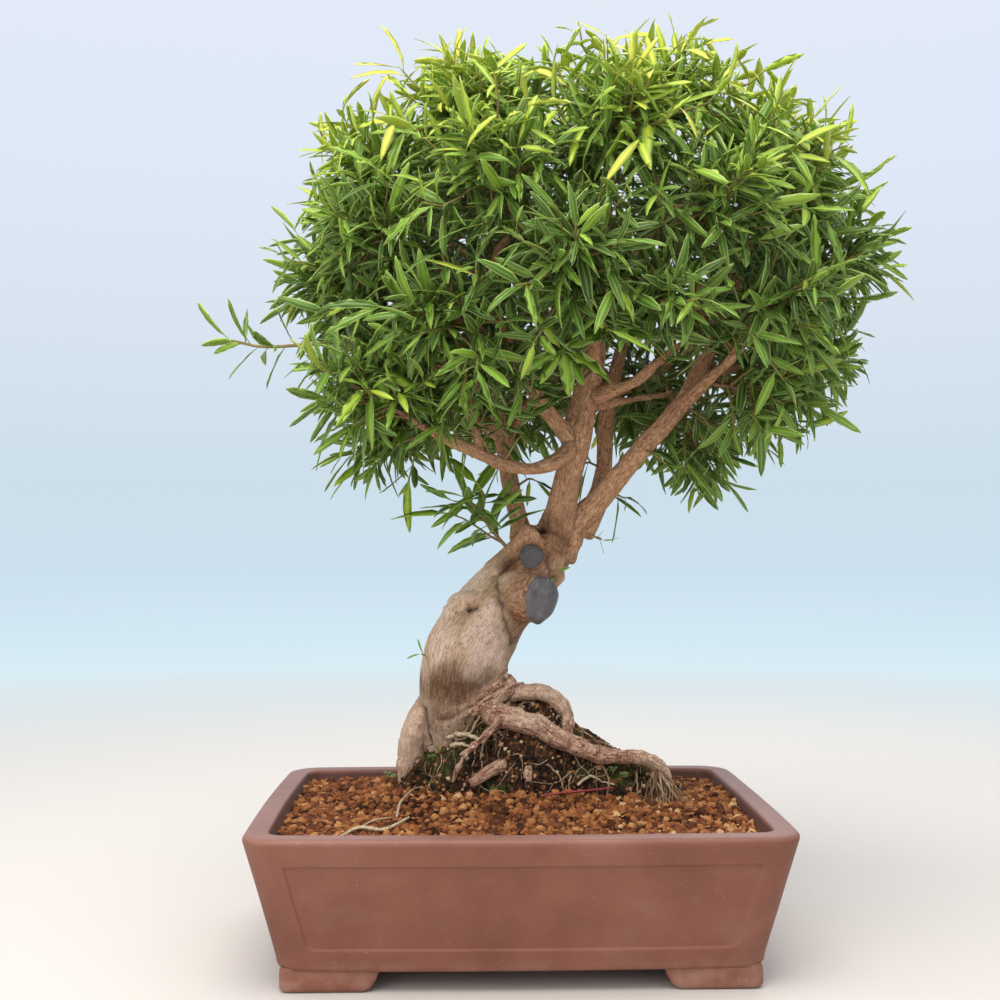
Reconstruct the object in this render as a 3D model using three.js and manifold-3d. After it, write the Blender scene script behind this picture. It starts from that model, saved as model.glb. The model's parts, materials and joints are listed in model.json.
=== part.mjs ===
// Willow leaf fig bonsai in a rectangular tray of unglazed stoneware.
// Millimetres, +Z up, +X to the viewer's right, +Y away from the viewer.
// Everything is laid out about the middle of the tray at table level. At the end the whole is moved
// so that the middle of its footprint is the origin.

import * as THREE from "three";
import { mergeVertices } from "three/addons/utils/BufferGeometryUtils.js";
import Module from "manifold-3d";

const wasm = await Module();
wasm.setup();

// Driving dimensions

const GAP = 0.4; // between pieces that rest on or grow out of each other
const GOLDEN = Math.PI * (3 - Math.sqrt(5));
const DEGREE = Math.PI / 180;

const TRAY = {
  length: 382,
  depth: 290,
  height: 107,
  footHeight: 14,
  floorTop: 25,
  wallLean: 23, // how far the walls draw in from the rim to the foot
  lipWidth: 18,
  wallAtFloor: 38, // inset of the cavity at the floor
  cornerRadius: 22,
  edgeCornerRadius: 19, // where the wall rounds in to the underside
  bottomCornerRadius: 16,
  bottomRoundIn: 5,
  bottomRoundUp: 4,
  rimRoundIn: 3,
  rimRoundDown: 1.6,
  innerCornerRadius: 10,
  floorCornerRadius: 8,
  floorRound: 4,
  innerRimRound: 1,
  bowLong: 4, // how far the long sides bulge
  bowShort: 2.5,
  panelDepth: 1.6,
  panelTop: 88,
  panelBottom: 30,
  panelMargin: 25,
  panelCorner: 5,
};
const FOOT = { outer: 4, lengthX: 69, lengthY: 58, thickness: 24, round: 8 };
const DRAIN = { spacing: 170, radius: 16, sides: 16, meshSize: 54, meshThickness: 1.4, meshHole: 9 };
const SOIL = {
  edge: 96.5,
  rise: 19, // how far it is heaped up round the trunk
  spreadX: 130,
  spreadY: 75,
  middleY: 45,
  grain: 1.5,
  jog: 5, // how far a grain's place may stray from its knot of the grid
  cellsX: 18,
  cellsY: 13,
};
const ROOT_BALL = {
  x: 22,
  y: 42,
  halfX: 104,
  halfY: 43,
  crest: 177,
  fallFrom: 30, // x from which the crest drops towards the long root's end
  crestAtEnd: 128,
  leftFallFrom: 0.55, // share of halfX to the left of its middle from which the crest drops too
  leftFall: 22,
  footAboveEdge: 8,
  bulge: 2.6,
  roundness: 0.62,
  ripple: 2.2,
  sunkTo: 52,
  sunkShoulder: 26,
  around: 18,
};
const CANOPY = {
  middle: new THREE.Vector3(56, 25, 525),
  origin: new THREE.Vector3(52, 30, 450), // where the leafy branches spread from
  halfX: 258,
  halfY: 205,
  up: 200,
  down: 222,
  tufts: 34,
  lowest: 1.7, // share of the globe's height that is leafed, of 2
  turn: 0.6,
};
// The part of the crown's front that is left open, so that the limbs show: a range of X, and shares of
// the globe's height and depth. A tuft at its upper edge is lifted.
const WINDOW = { left: -30, right: 165, front: -0.2, below: -0.45, edge: 0.1, lift: 50 };
// Tufts that hang below the spiral ones: base and direction
const LOW_TUFTS = [
  [[-82, -50, 394], [-0.75, -0.45, 0.42]],
  [[-54, 8, 404], [-0.85, 0.05, -0.4]],
  [[129, 57, 422], [0.4, 0.05, -0.8]],
];
const TUFT = {
  reach: 108,
  stem: 40,
  stemRadius: 2.2,
  shoots: 11,
  firstShoot: 0.25, // share of the stem at which the shoots start
  leaves: 10,
  firstLeaf: 0.25,
  shootLength: 36,
  shootRange: 14,
  shootSpread: 62,
  spreadFall: 1.6,
  lift: 0.2, // how far the lower shoots turn up
  twigRadius: 1.7,
  coreRadius: 9,
  bud: 6, // how far a shoot's tip runs on past its last leaf
};
// Ranges are for the random part. A leaf stands open at its shoot's foot and closes towards the tip.
const TUFT_LEAF = {
  length: 31,
  lengthRange: 14,
  lastLeaf: 0.8,
  open: 74,
  openFall: 46,
  openRange: 16,
  droop: 0.1,
  droopRange: 0.14,
};
const SHOOT_LEAF = {
  first: 0.3,
  over: 0.69,
  shortest: 0.85,
  lengthRange: 0.3,
  open: 72,
  openFall: 42,
  openRange: 12,
  droop: 0.14,
};
// Stations along a leaf: share of its length, half its width as a share of its length, keel in mm
const BLADE = [
  [0.34, 0.1, 1.3],
  [0.72, 0.075, 1.1],
];
const BARE_BRANCH = {
  radii: [2.9, 2.8, 2.5, 2.3],
  shareOfLimb: 0.7,
  straight: 12, // how far it runs straight on into the tuft's stem
  bow: 0.12,
  turnCost: 1.6, // how dear a wide fork is against a long way
  longFrom: 45,
};
const LIMB_STEPS = 20;
const FIRST_SPRING = 6; // the step of a limb from which leafy branches spring
const PASTE = { middle: 1.8, thickness: 3, shares: [0.97, 0.95, 0.62], lobes: 0.05 };

// Trunk, roots and limbs: points [x, y, z, radius] along each centreline

const TRUNK = [
  [-38, 50, 104, 24],
  [-40, 49, 130, 30],
  [-41, 48, 155, 33],
  [-41, 47, 183, 34],
  [-36, 46, 213, 34.5],
  [-19, 45, 244, 31],
  [2, 44, 267, 28],
  [17, 43, 285, 25],
  [26, 42, 300, 21],
];
const TRUNK_SHAPE = { sides: 12, steps: 9, lobes: 0.05 };
const STUB_FLARE = 1.15;
const WOUNDS = {
  lower: { from: [-3, 37, 261], to: [20, 14, 257], radius: 18.5 },
  upper: { from: [17, 34, 287], to: [13, 15, 290], radius: 9.5 },
};
const ROOTS = [
  [[-56, 46, 182, 12], [-71, 44, 165, 11.5], [-80, 46, 144, 10.8], [-83, 50, 122, 10], [-80, 54, 90, 8]],
  [[-2, 34, 193, 10], [-19, 23, 184, 9.5], [-41, 20, 174, 9.5], [-58, 25, 163, 8.5], [-67, 34, 150, 7],
    [-66, 44, 128, 5.5]],
  [[-19, 24, 168, 11], [-2, 13, 166, 9], [18, 8, 159, 8.5], [38, 6, 149, 8], [65, 6, 138, 6.8],
    [92, 6, 136, 5.8], [109, 5, 131, 4.8], [117, 5, 121, 4], [116, 6, 90, 3.2]],
  [[-9, 36, 183, 9], [8, 29, 184, 7], [23, 26, 183, 6.4], [36, 26, 175, 6], [42, 24, 163, 5.5],
    [40, 14, 146, 4.4]],
  [[-8, 20, 174, 4], [-16, 4, 161, 3.2], [-28, -3, 150, 2.8], [-40, -5, 138, 2.6], [-48, 2, 118, 2.4]],
  [[-14, 32, 138, 7], [-9, 10, 131, 5.5], [-19, -1, 127, 5.2], [-35, -6, 119, 4.2]],
  [[-4, 42, 148, 8], [7, 14, 141, 6], [9, 3, 132, 5], [9, -2, 118, 4.2]],
  [[-48, 66, 176, 12], [-66, 84, 150, 9], [-84, 96, 120, 7], [-92, 102, 90, 6]],
  [[-14, 68, 168, 12], [16, 86, 146, 9], [52, 94, 124, 7], [84, 98, 92, 5]],
];
const LIMBS = {
  left_leader: [[13, 45, 290, 14], [5, 50, 317, 7.8], [-2, 55, 351, 7], [-8, 58, 384, 6.4],
    [-18, 60, 425, 5.6], [-34, 64, 474, 4.8], [-59, 70, 528, 3.6]],
  leader: [[26, 42, 286, 18], [38, 36, 328, 12], [44, 32, 357, 10.5], [50, 30, 382, 11], [53, 30, 403, 12],
    [63, 30, 441, 9], [71, 30, 485, 7], [74, 26, 539, 5.2], [72, 24, 588, 3.4]],
  right: [[34, 43, 294, 16], [51, 44, 317, 11], [70, 42, 337, 9], [102, 36, 375, 8], [133, 28, 411, 7.2],
    [148, 20, 440, 6.6], [156, 12, 458, 5], [169, 4, 495, 4], [180, -4, 522, 3]],
  right_fork: [[147, 21, 436, 5.5], [166, 18, 436, 4.2], [184, 12, 443, 3.6], [208, 4, 453, 3]],
  back_right: [[54, 47, 309, 12], [68, 56, 333, 9], [75, 66, 360, 7], [78, 70, 407, 6.5], [91, 78, 460, 5.5],
    [104, 86, 505, 4.2], [112, 92, 540, 3]],
  low_left: [[47, 28, 377, 8], [31, 13, 364, 6.4], [10, 2, 358, 6], [-12, -10, 362, 5.6], [-35, -24, 371, 5],
    [-54, -36, 379, 4.5], [-74, -47, 388, 3]],
  low_left_rise: [[-26, -18, 367, 4.4], [-31, -26, 385, 3.8], [-37, -34, 403, 3.4], [-46, -44, 430, 3]],
  up_left: [[48, 29, 378, 8], [31, 19, 398, 6.5], [16, 10, 417, 5.8], [0, 0, 445, 5], [-18, -12, 482, 4.2],
    [-34, -22, 512, 3.2]],
  right_front: [[57, 28, 415, 7], [91, 14, 425, 4.8], [113, -2, 442, 4.4], [134, -22, 455, 3.9],
    [152, -44, 468, 3]],
  thin_right: [[60, 34, 410, 5], [95, 47, 416, 3.4], [124, 56, 421, 3]],
  front: [[63, 28, 440, 7], [59, -18, 456, 4.8], [52, -58, 482, 4], [46, -88, 508, 3]],
  back_left: [[-9, 58, 386, 6], [-38, 84, 412, 4.6], [-64, 106, 440, 3.8], [-84, 120, 468, 3]],
  back: [[79, 71, 412, 6], [72, 100, 440, 4.6], [62, 128, 478, 3.4]],
  far_right: [[82, 72, 424, 6], [116, 94, 440, 4.6], [148, 108, 462, 3.8], [172, 114, 488, 3]],
  left_middle: [[-18, 60, 424, 6], [-54, 46, 440, 4.6], [-90, 32, 460, 3.8], [-116, 22, 482, 3]],
  near_right: [[131, 29, 408, 6], [146, -8, 424, 4.4], [160, -44, 440, 3.6], [168, -72, 458, 3]],
  up_back: [[71, 30, 484, 6], [64, 58, 520, 4], [54, 86, 552, 3]],
  up_front: [[64, 30, 450, 6], [34, 14, 500, 4.4], [14, 4, 545, 3.4], [2, 0, 570, 3]],
  up_right: [[72, 29, 494, 6], [100, 20, 530, 4], [122, 12, 560, 3]],
};
const SHOOTS = [
  {
    name: "lower_shoot",
    from: [2, 40, 291],
    stem: [[-9, 33, 301], [-26, 22, 322], [-41, 14, 340]],
    socket: true,
    leaves: 11,
    length: 41,
    radius: 1.9,
    seed: 71,
  },
  {
    name: "left_twig",
    from: [-130, 6, 456],
    stem: [[-164, -3, 452], [-194, -8, 450], [-218, -11, 455]],
    limb: "left_middle",
    leaves: 9,
    length: 38,
    radius: 1.6,
    seed: 33,
  },
  {
    name: "base_shoot",
    from: [-60, 32, 210],
    stem: [[-68, 29, 212], [-73, 27, 214]],
    socket: true,
    leaves: 3,
    length: 13,
    radius: 1.2,
    seed: 12,
  },
  {
    name: "crotch_shoot",
    from: [56, 42, 311],
    stem: [[64, 37, 306], [70, 34, 303]],
    socket: true,
    leaves: 4,
    length: 13,
    radius: 1.2,
    seed: 25,
  },
];

// Materials

function finish(colour, roughness) {
  return new THREE.MeshStandardMaterial({ color: colour, roughness, metalness: 0 });
}
const STONEWARE = finish(0x8c5f50, 0.75);
const MESH_PLASTIC = finish(0x26302a, 0.6);
const BAKED_CLAY_GRAINS = finish(0x97592d, 0.95);
const DARK_SOIL = finish(0x3a3020, 0.98);
const BARK = finish(0xa9876b, 0.85);
const CUT_PASTE = finish(0x565a61, 0.55);
const LEAF_GREEN = finish(0x4f8a2a, 0.45);

// Solids

// Turns a closed geometry into a solid, whichever way its faces were wound.
function solidFrom(geometry) {
  const bare = geometry.clone();
  bare.deleteAttribute("normal");
  bare.deleteAttribute("uv");
  const merged = mergeVertices(bare, 1e-4);
  const make = (triVerts) =>
    new wasm.Manifold(
      new wasm.Mesh({ numProp: 3, vertProperties: merged.attributes.position.array, triVerts }),
    );
  const triangles = new Uint32Array(merged.index.array);
  const made = make(triangles);
  return made.volume() > 0 ? made : make(triangles.reverse());
}

function geometryFrom(solid) {
  const mesh = solid.getMesh();
  const geometry = new THREE.BufferGeometry();
  geometry.setAttribute("position", new THREE.BufferAttribute(mesh.vertProperties, mesh.numProp));
  geometry.setIndex(new THREE.BufferAttribute(mesh.triVerts, 1));
  return geometry;
}

const joined = (solids) => solids.reduce((all, one) => all.add(one));

// The largest of a cut solid's separate bodies.
function mainBody(solid) {
  return solid.decompose().reduce((most, one) => (one.volume() > most.volume() ? one : most));
}

// A closed skin over rings of equally many points, with flat ends.
function skinOver(rings) {
  const count = rings[0].length;
  const positions = rings.flat().flatMap((p) => [p.x, p.y, p.z]);
  const index = [];
  for (let r = 0; r + 1 < rings.length; r++)
    for (let a = 0; a < count; a++) {
      const b = (a + 1) % count;
      const low = r * count;
      const high = low + count;
      index.push(low + a, low + b, high + b, low + a, high + b, high + a);
    }
  const last = (rings.length - 1) * count;
  for (let a = 1; a + 1 < count; a++) {
    index.push(0, a + 1, a);
    index.push(last, last + a, last + a + 1);
  }
  const geometry = new THREE.BufferGeometry();
  geometry.setAttribute("position", new THREE.Float32BufferAttribute(positions, 3));
  geometry.setIndex(index);
  return solidFrom(geometry);
}

// A tapering round bar along a smooth line through [x, y, z, radius] points.
// lobes swells its section in three places, as an old trunk's flutes do, and extra fattens it all over.
function bar(points, sides, steps, { lobes = 0, extra = 0 } = {}) {
  const line = new THREE.CatmullRomCurve3(
    points.map(([x, y, z]) => new THREE.Vector3(x, y, z)),
    false,
    "catmullrom",
  );
  const rings = [];
  let across = null;
  for (let s = 0; s <= steps; s++) {
    const t = s / steps;
    const place = Math.min(t * (points.length - 1), points.length - 1 - 1e-9);
    const k = Math.floor(place);
    const radius = THREE.MathUtils.lerp(points[k][3], points[k + 1][3], place - k) + extra;
    const along = line.getTangent(t);
    if (!across) across = new THREE.Vector3(0, 1, 0.3);
    across = across.clone().addScaledVector(along, -across.dot(along)).normalize();
    const third = new THREE.Vector3().crossVectors(along, across);
    const middle = line.getPoint(t);
    const ring = [];
    for (let a = 0; a < sides; a++) {
      const angle = (2 * Math.PI * a) / sides;
      const out = radius * (1 + lobes * Math.sin(3 * angle + 2.4 * t));
      ring.push(
        middle
          .clone()
          .addScaledVector(across, out * Math.cos(angle))
          .addScaledVector(third, out * Math.sin(angle)),
      );
    }
    rings.push(ring);
  }
  return skinOver(rings);
}

// Whether a solid keeps clear of each of the others, which come with their boxes.
function isClear(solid, others) {
  const mine = solid.boundingBox();
  return others.every(({ body, box }) => {
    const apart = [0, 1, 2].some((i) => mine.min[i] > box.max[i] || mine.max[i] < box.min[i]);
    return apart || solid.intersect(body).volume() < 1e-3;
  });
}
const boxed = (body) => ({ body, box: body.boundingBox() });

// The same sequence of numbers from 0 to 1 for the same seed.
function randomSource(seed) {
  let state = seed * 7919 + 12345;
  return () => {
    state = (state * 16807) % 2147483647;
    return state / 2147483647;
  };
}

// Tray

const wallInset = (z) =>
  (TRAY.wallLean * (TRAY.height - z)) / (TRAY.height - TRAY.footHeight);

// The tray's outline at a height, a rounded rectangle with bowed sides, inset from the rim's edge.
function trayRing(inset, z, radius = TRAY.cornerRadius) {
  const halfX = TRAY.length / 2 - inset - TRAY.bowShort;
  const halfY = TRAY.depth / 2 - inset - TRAY.bowLong;
  const cornerSteps = 3;
  const sideSteps = 3;
  const arcs = [[1, 1], [-1, 1], [-1, -1], [1, -1]].map(([signX, signY], corner) =>
    Array.from({ length: cornerSteps + 1 }, (_, s) => {
      const angle = (corner + s / cornerSteps) * (Math.PI / 2);
      const x = signX * (halfX - radius) + radius * Math.cos(angle);
      const y = signY * (halfY - radius) + radius * Math.sin(angle);
      return new THREE.Vector3(x, y, z);
    }),
  );
  const ring = [];
  arcs.forEach((arc, corner) => {
    ring.push(...arc);
    const from = arc[cornerSteps];
    const to = arcs[(corner + 1) % 4][0];
    for (let s = 1; s < sideSteps; s++) ring.push(from.clone().lerp(to, s / sideSteps));
  });
  return ring.map(({ x, y }) => {
    const outX = TRAY.bowShort * (1 - (y / halfY) ** 2);
    const outY = TRAY.bowLong * (1 - (x / halfX) ** 2);
    return new THREE.Vector3(x * (1 + outX / halfX), y * (1 + outY / halfY), z);
  });
}

function trayOutside(inset) {
  const { footHeight, height, bottomRoundIn, bottomRoundUp, rimRoundIn, rimRoundDown } = TRAY;
  const low = footHeight + bottomRoundUp;
  const high = height - 3 * rimRoundDown;
  const rim = height - rimRoundDown;
  return skinOver([
    trayRing(wallInset(footHeight) + bottomRoundIn + inset, footHeight, TRAY.bottomCornerRadius),
    trayRing(wallInset(low) + inset, low, TRAY.edgeCornerRadius),
    trayRing(wallInset(high) + inset, high),
    trayRing(wallInset(rim) + 0.2 + inset, rim),
    trayRing(rimRoundIn + inset, height),
  ]);
}

function trayCavity(inset) {
  const { floorTop, height, lipWidth, wallAtFloor, floorRound, innerRimRound, innerCornerRadius } = TRAY;
  return skinOver([
    trayRing(wallAtFloor + floorRound + inset, floorTop + inset, TRAY.floorCornerRadius),
    trayRing(wallAtFloor + inset, floorTop + floorRound + 1, innerCornerRadius),
    trayRing(lipWidth + innerRimRound + inset, height - 3 * innerRimRound, innerCornerRadius),
    trayRing(lipWidth - innerRimRound + inset, height + 2 * innerRimRound, innerCornerRadius),
  ]);
}

// A prism over an outline in X and Z, or in Y and Z, that runs right through the tray.
function prismThrough(outline, length, alongY) {
  const shape = new THREE.Shape(outline.map(([a, z]) => new THREE.Vector2(a, z)));
  const geometry = new THREE.ExtrudeGeometry(shape, { depth: length, bevelEnabled: false });
  geometry.translate(0, 0, -length / 2);
  geometry.rotateX(Math.PI / 2);
  if (!alongY) geometry.rotateZ(Math.PI / 2);
  return solidFrom(geometry);
}

function panelCutter() {
  const { length, depth, panelTop, panelBottom, panelMargin, panelCorner: cut } = TRAY;
  const outline = (width) => {
    const top = width / 2 - wallInset(panelTop) - panelMargin;
    const bottom = width / 2 - wallInset(panelBottom) - panelMargin;
    return [
      [-top, panelTop],
      [-bottom, panelBottom + cut],
      [-bottom + cut, panelBottom],
      [bottom - cut, panelBottom],
      [bottom, panelBottom + cut],
      [top, panelTop],
    ];
  };
  return prismThrough(outline(length), 2 * depth, true).add(
    prismThrough(outline(depth), 2 * length, false),
  );
}

// One leg of a corner foot, running along X from the origin: its ends round in towards the table.
function footLeg(length) {
  const { round, thickness } = FOOT;
  const top = TRAY.footHeight + 3;
  const outline = [
    [0, top],
    [0, round * 0.4],
    [round * 0.6, 0],
    [length - round * 1.3, 0],
    [length - round * 0.3, round * 0.6],
    [length, top],
  ];
  const shape = new THREE.Shape(outline.map(([a, z]) => new THREE.Vector2(a, z)));
  const geometry = new THREE.ExtrudeGeometry(shape, { depth: thickness, bevelEnabled: false });
  geometry.rotateX(Math.PI / 2);
  geometry.translate(0, thickness, 0);
  return geometry;
}

function feet() {
  const reachX = TRAY.length / 2 - wallInset(TRAY.footHeight) - FOOT.outer;
  const reachY = TRAY.depth / 2 - wallInset(TRAY.footHeight) - FOOT.outer;
  const turned = new THREE.Matrix4().makeBasis(
    new THREE.Vector3(0, 1, 0),
    new THREE.Vector3(1, 0, 0),
    new THREE.Vector3(0, 0, 1),
  );
  const made = [];
  for (const signX of [-1, 1])
    for (const signY of [-1, 1]) {
      const legs = [footLeg(FOOT.lengthX), footLeg(FOOT.lengthY).applyMatrix4(turned)];
      for (const leg of legs) {
        leg.translate(-reachX, -reachY, 0);
        leg.scale(signX, signY, 1);
        made.push(solidFrom(leg));
      }
    }
  return made;
}

function drainHole(x) {
  const geometry = new THREE.CylinderGeometry(DRAIN.radius, DRAIN.radius, 40, DRAIN.sides);
  geometry.rotateX(Math.PI / 2);
  geometry.translate(x, 0, TRAY.floorTop);
  return solidFrom(geometry);
}

function makeTray() {
  const panels = panelCutter().subtract(trayOutside(TRAY.panelDepth));
  let tray = trayOutside(0).subtract(panels).subtract(trayCavity(0));
  for (const foot of feet()) tray = tray.add(foot.subtract(trayCavity(0)));
  for (const side of [-1, 1]) tray = tray.subtract(drainHole((side * DRAIN.spacing) / 2));
  return tray;
}

// A square of plastic mesh that keeps the grains from falling through a drain hole.
function makeDrainMesh(x) {
  const { meshSize, meshThickness, meshHole } = DRAIN;
  const plate = new THREE.BoxGeometry(meshSize, meshSize, meshThickness);
  const middle = TRAY.floorTop + GAP + meshThickness / 2;
  let mesh = solidFrom(plate.translate(x, 0, middle));
  for (const column of [-1, 1])
    for (const row of [-1, 1]) {
      const hole = new THREE.BoxGeometry(meshHole, meshHole, 4 * meshThickness);
      hole.translate(x + column * meshHole * 0.75, row * meshHole * 0.75, middle);
      mesh = mesh.subtract(solidFrom(hole));
    }
  return mesh;
}

// Soil

function soilLevel(x, y) {
  const { edge, rise, spreadX, spreadY, middleY } = SOIL;
  return edge + rise * Math.exp(-((x / spreadX) ** 2) - ((y - middleY) / spreadY) ** 2);
}

// Loose grains larger than life: every second knot of the grid stands up. The grid runs on into the
// walls, and the cavity cuts it to size.
function makeGrainBed(holes) {
  const { cellsX, cellsY, grain, jog } = SOIL;
  const halfX = TRAY.length / 2 - TRAY.lipWidth + jog;
  const halfY = TRAY.depth / 2 - TRAY.lipWidth + jog;
  const rnd = randomSource(5);
  const rows = [];
  for (let j = 0; j <= cellsY; j++) {
    const row = [];
    for (let i = 0; i <= cellsX; i++) {
      const x = -halfX + (2 * halfX * i) / cellsX + (rnd() - 0.5) * jog;
      const y = -halfY + (2 * halfY * j) / cellsY + (rnd() - 0.5) * jog;
      const knob = (i + j) % 2 ? grain : -grain * 0.6;
      row.push(new THREE.Vector3(x, y, soilLevel(x, y) + knob + (rnd() - 0.5) * grain));
    }
    rows.push(row);
  }
  const positions = rows.flat().flatMap((p) => [p.x, p.y, p.z]);
  const width = cellsX + 1;
  const index = [];
  for (let j = 0; j < cellsY; j++)
    for (let i = 0; i < cellsX; i++) {
      const a = j * width + i;
      if ((i + j) % 2) index.push(a, a + 1, a + width, a + 1, a + width + 1, a + width);
      else index.push(a, a + 1, a + width + 1, a, a + width + 1, a + width);
    }
  const rim = [];
  for (let i = 0; i < cellsX; i++) rim.push(i);
  for (let j = 0; j < cellsY; j++) rim.push(j * width + cellsX);
  for (let i = cellsX; i > 0; i--) rim.push(cellsY * width + i);
  for (let j = cellsY; j > 0; j--) rim.push(j * width);
  const base = positions.length / 3;
  for (const k of rim) positions.push(positions[3 * k], positions[3 * k + 1], 0);
  const centre = positions.length / 3;
  positions.push(0, 0, 0);
  rim.forEach((k, n) => {
    const m = (n + 1) % rim.length;
    index.push(k, base + n, base + m, k, base + m, rim[m]);
    index.push(base + n, centre, base + m);
  });
  const geometry = new THREE.BufferGeometry();
  geometry.setAttribute("position", new THREE.Float32BufferAttribute(positions, 3));
  geometry.setIndex(index);
  const inTray = trayCavity(GAP);
  const floor = TRAY.floorTop + GAP + DRAIN.meshThickness + GAP;
  const below = new THREE.BoxGeometry(TRAY.length, TRAY.depth, floor);
  below.translate(0, 0, floor / 2);
  let bed = solidFrom(geometry).intersect(inTray).subtract(solidFrom(below));
  for (const hole of holes) bed = bed.subtract(hole);
  return mainBody(bed);
}

// The old ball of dark soil and roots that the trunk sits on, a mound that runs out to the right.
function moundHeight(x, share) {
  const { x: cx, halfX, crest, crestAtEnd, fallFrom, leftFallFrom, leftFall, bulge, roundness } = ROOT_BALL;
  const { clamp } = THREE.MathUtils;
  const run = clamp((x - fallFrom) / (cx + halfX - fallFrom), 0, 1);
  const leftRun = clamp((cx - halfX * leftFallFrom - x) / (halfX * (1 - leftFallFrom)), 0, 1);
  const top = crest - (crest - crestAtEnd) * Math.sqrt(run) - leftFall * leftRun;
  const foot = SOIL.edge + ROOT_BALL.footAboveEdge;
  return foot + (top - foot) * (1 - share ** bulge) ** roundness;
}

function mound(extra) {
  const { x: cx, y: cy, halfX, halfY, around, ripple, sunkTo, sunkShoulder } = ROOT_BALL;
  const ringAt = (share, heightOf) => {
    const ring = [];
    for (let a = 0; a < around; a++) {
      const angle = (2 * Math.PI * a) / around;
      const uneven = 1 + 0.05 * Math.sin(5 * angle + 4 * share) + 0.04 * Math.sin(9 * angle - 3 * share);
      const [c, s] = [Math.cos(angle), Math.sin(angle)];
      const square = (c ** 4 + s ** 4) ** -0.2; // fuller at the corners than an ellipse
      const x = cx + (halfX * share * uneven * square + extra) * c;
      const y = cy + (halfY * share * uneven * square + extra) * s;
      ring.push(new THREE.Vector3(x, y, heightOf(x, angle)));
    }
    return ring;
  };
  const above = [1, 0.9, 0.66, 0.3].map((share) => {
    const wave = (angle) => ripple * share * Math.sin(7 * angle + 9 * share);
    return ringAt(share, (x, angle) => moundHeight(x, share) + wave(angle) + extra);
  });
  return skinOver([
    ringAt(0.72, () => sunkTo - extra),
    ringAt(0.97, () => sunkTo + sunkShoulder),
    ...above,
  ]);
}

// Wood

function trunkBars(extra) {
  const { sides, steps, lobes } = TRUNK_SHAPE;
  const bars = [bar(TRUNK, sides, steps, { lobes, extra })];
  for (const root of ROOTS) {
    const thick = root[0][3] > 6;
    bars.push(bar(root, thick ? 7 : 5, root.length - 1, { extra }));
  }
  for (const { from, to, radius } of Object.values(WOUNDS))
    bars.push(bar([[...from, radius * STUB_FLARE], [...to, radius]], sides, 1, { extra }));
  return bars;
}

function limbBars() {
  return Object.values(LIMBS).map((points) =>
    bar(points, points[0][3] > 8 ? 7 : 5, points.length - 1),
  );
}

// Where the leafy branches can spring from: points along the outer part of every limb.
function limbSprings() {
  const found = [];
  for (const [name, points] of Object.entries(LIMBS)) {
    const line = new THREE.CatmullRomCurve3(
      points.map(([x, y, z]) => new THREE.Vector3(x, y, z)),
      false,
      "catmullrom",
    );
    for (let s = FIRST_SPRING; s <= LIMB_STEPS; s++) {
      const t = s / LIMB_STEPS;
      const radius = points[Math.round(t * (points.length - 1))][3];
      found.push({ name, place: line.getPoint(t), tangent: line.getTangent(t), radius });
    }
  }
  return found;
}

// A bare branch from a limb to the base of a leafy tuft, which it meets end to end. It leaves the limb
// where that takes a short way and a narrow fork.
function bareBranch(base, along, springs, limb = null, extra = 0) {
  const { radii, shareOfLimb, straight, bow, turnCost, longFrom } = BARE_BRANCH;
  const cost = ({ place, tangent }) => {
    const way = base.clone().sub(place);
    const length = way.length();
    return length * (turnCost - way.dot(tangent) / Math.max(length, 1));
  };
  const near = springs
    .filter(({ name }) => !limb || name === limb)
    .reduce((best, one) => (cost(one) < cost(best) ? one : best));
  const length = near.place.distanceTo(base);
  const before = base.clone().addScaledVector(along, -Math.min(straight, length / 4));
  const bend = near.place.clone().lerp(before, 0.5).addScaledVector(near.tangent, bow * length);
  const first = Math.min(radii[0], near.radius * shareOfLimb);
  const line = [near.place, bend, before, base].map((p, n) => [p.x, p.y, p.z, n ? radii[n] : first]);
  return bar(line, 4, length > longFrom ? 2 : 1, { extra });
}

// Leaves

// A lance-shaped blade with a keel under its rib, arched along its length. It starts from a point,
// or further out if only its outer part is asked for.
function leafBlade({ root, along, up, length, droop }, extra = 0, outer = false) {
  const side = new THREE.Vector3().crossVectors(along, up).normalize();
  const middleAt = (share) =>
    root
      .clone()
      .addScaledVector(along, length * share)
      .addScaledVector(up, -droop * length * share * share);
  const ringAt = (share, halfWidth, keel) => {
    const middle = middleAt(share);
    const out = halfWidth * length + extra;
    return [
      middle.clone().addScaledVector(side, out).addScaledVector(up, extra),
      middle.clone().addScaledVector(side, -out).addScaledVector(up, extra),
      middle.clone().addScaledVector(up, -keel - extra),
    ];
  };
  const three = (share) => [0, 1, 2].map(() => middleAt(share));
  const start = outer ? [] : [three(0)];
  return skinOver([...start, ...BLADE.map((station) => ringAt(...station)), three(1)]);
}

// A unit vector at an angle from an axis, turned by azimuth about it.
function leaning(axis, angle, azimuth) {
  const helper = Math.abs(axis.z) < 0.9 ? new THREE.Vector3(0, 0, 1) : new THREE.Vector3(1, 0, 0);
  const first = new THREE.Vector3().crossVectors(helper, axis).normalize();
  const second = new THREE.Vector3().crossVectors(axis, first);
  return axis
    .clone()
    .multiplyScalar(Math.cos(angle))
    .addScaledVector(first, Math.sin(angle) * Math.cos(azimuth))
    .addScaledVector(second, Math.sin(angle) * Math.sin(azimuth))
    .normalize();
}

// The leaf that grows from a point of a shoot: its upper face turns to the shoot's tip.
function leafOn(shootDirection, root, open, azimuth, length, droop) {
  const along = leaning(shootDirection, open, azimuth);
  const up = shootDirection
    .clone()
    .addScaledVector(along, -shootDirection.dot(along))
    .normalize();
  return { root, along, up, length, droop };
}

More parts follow.
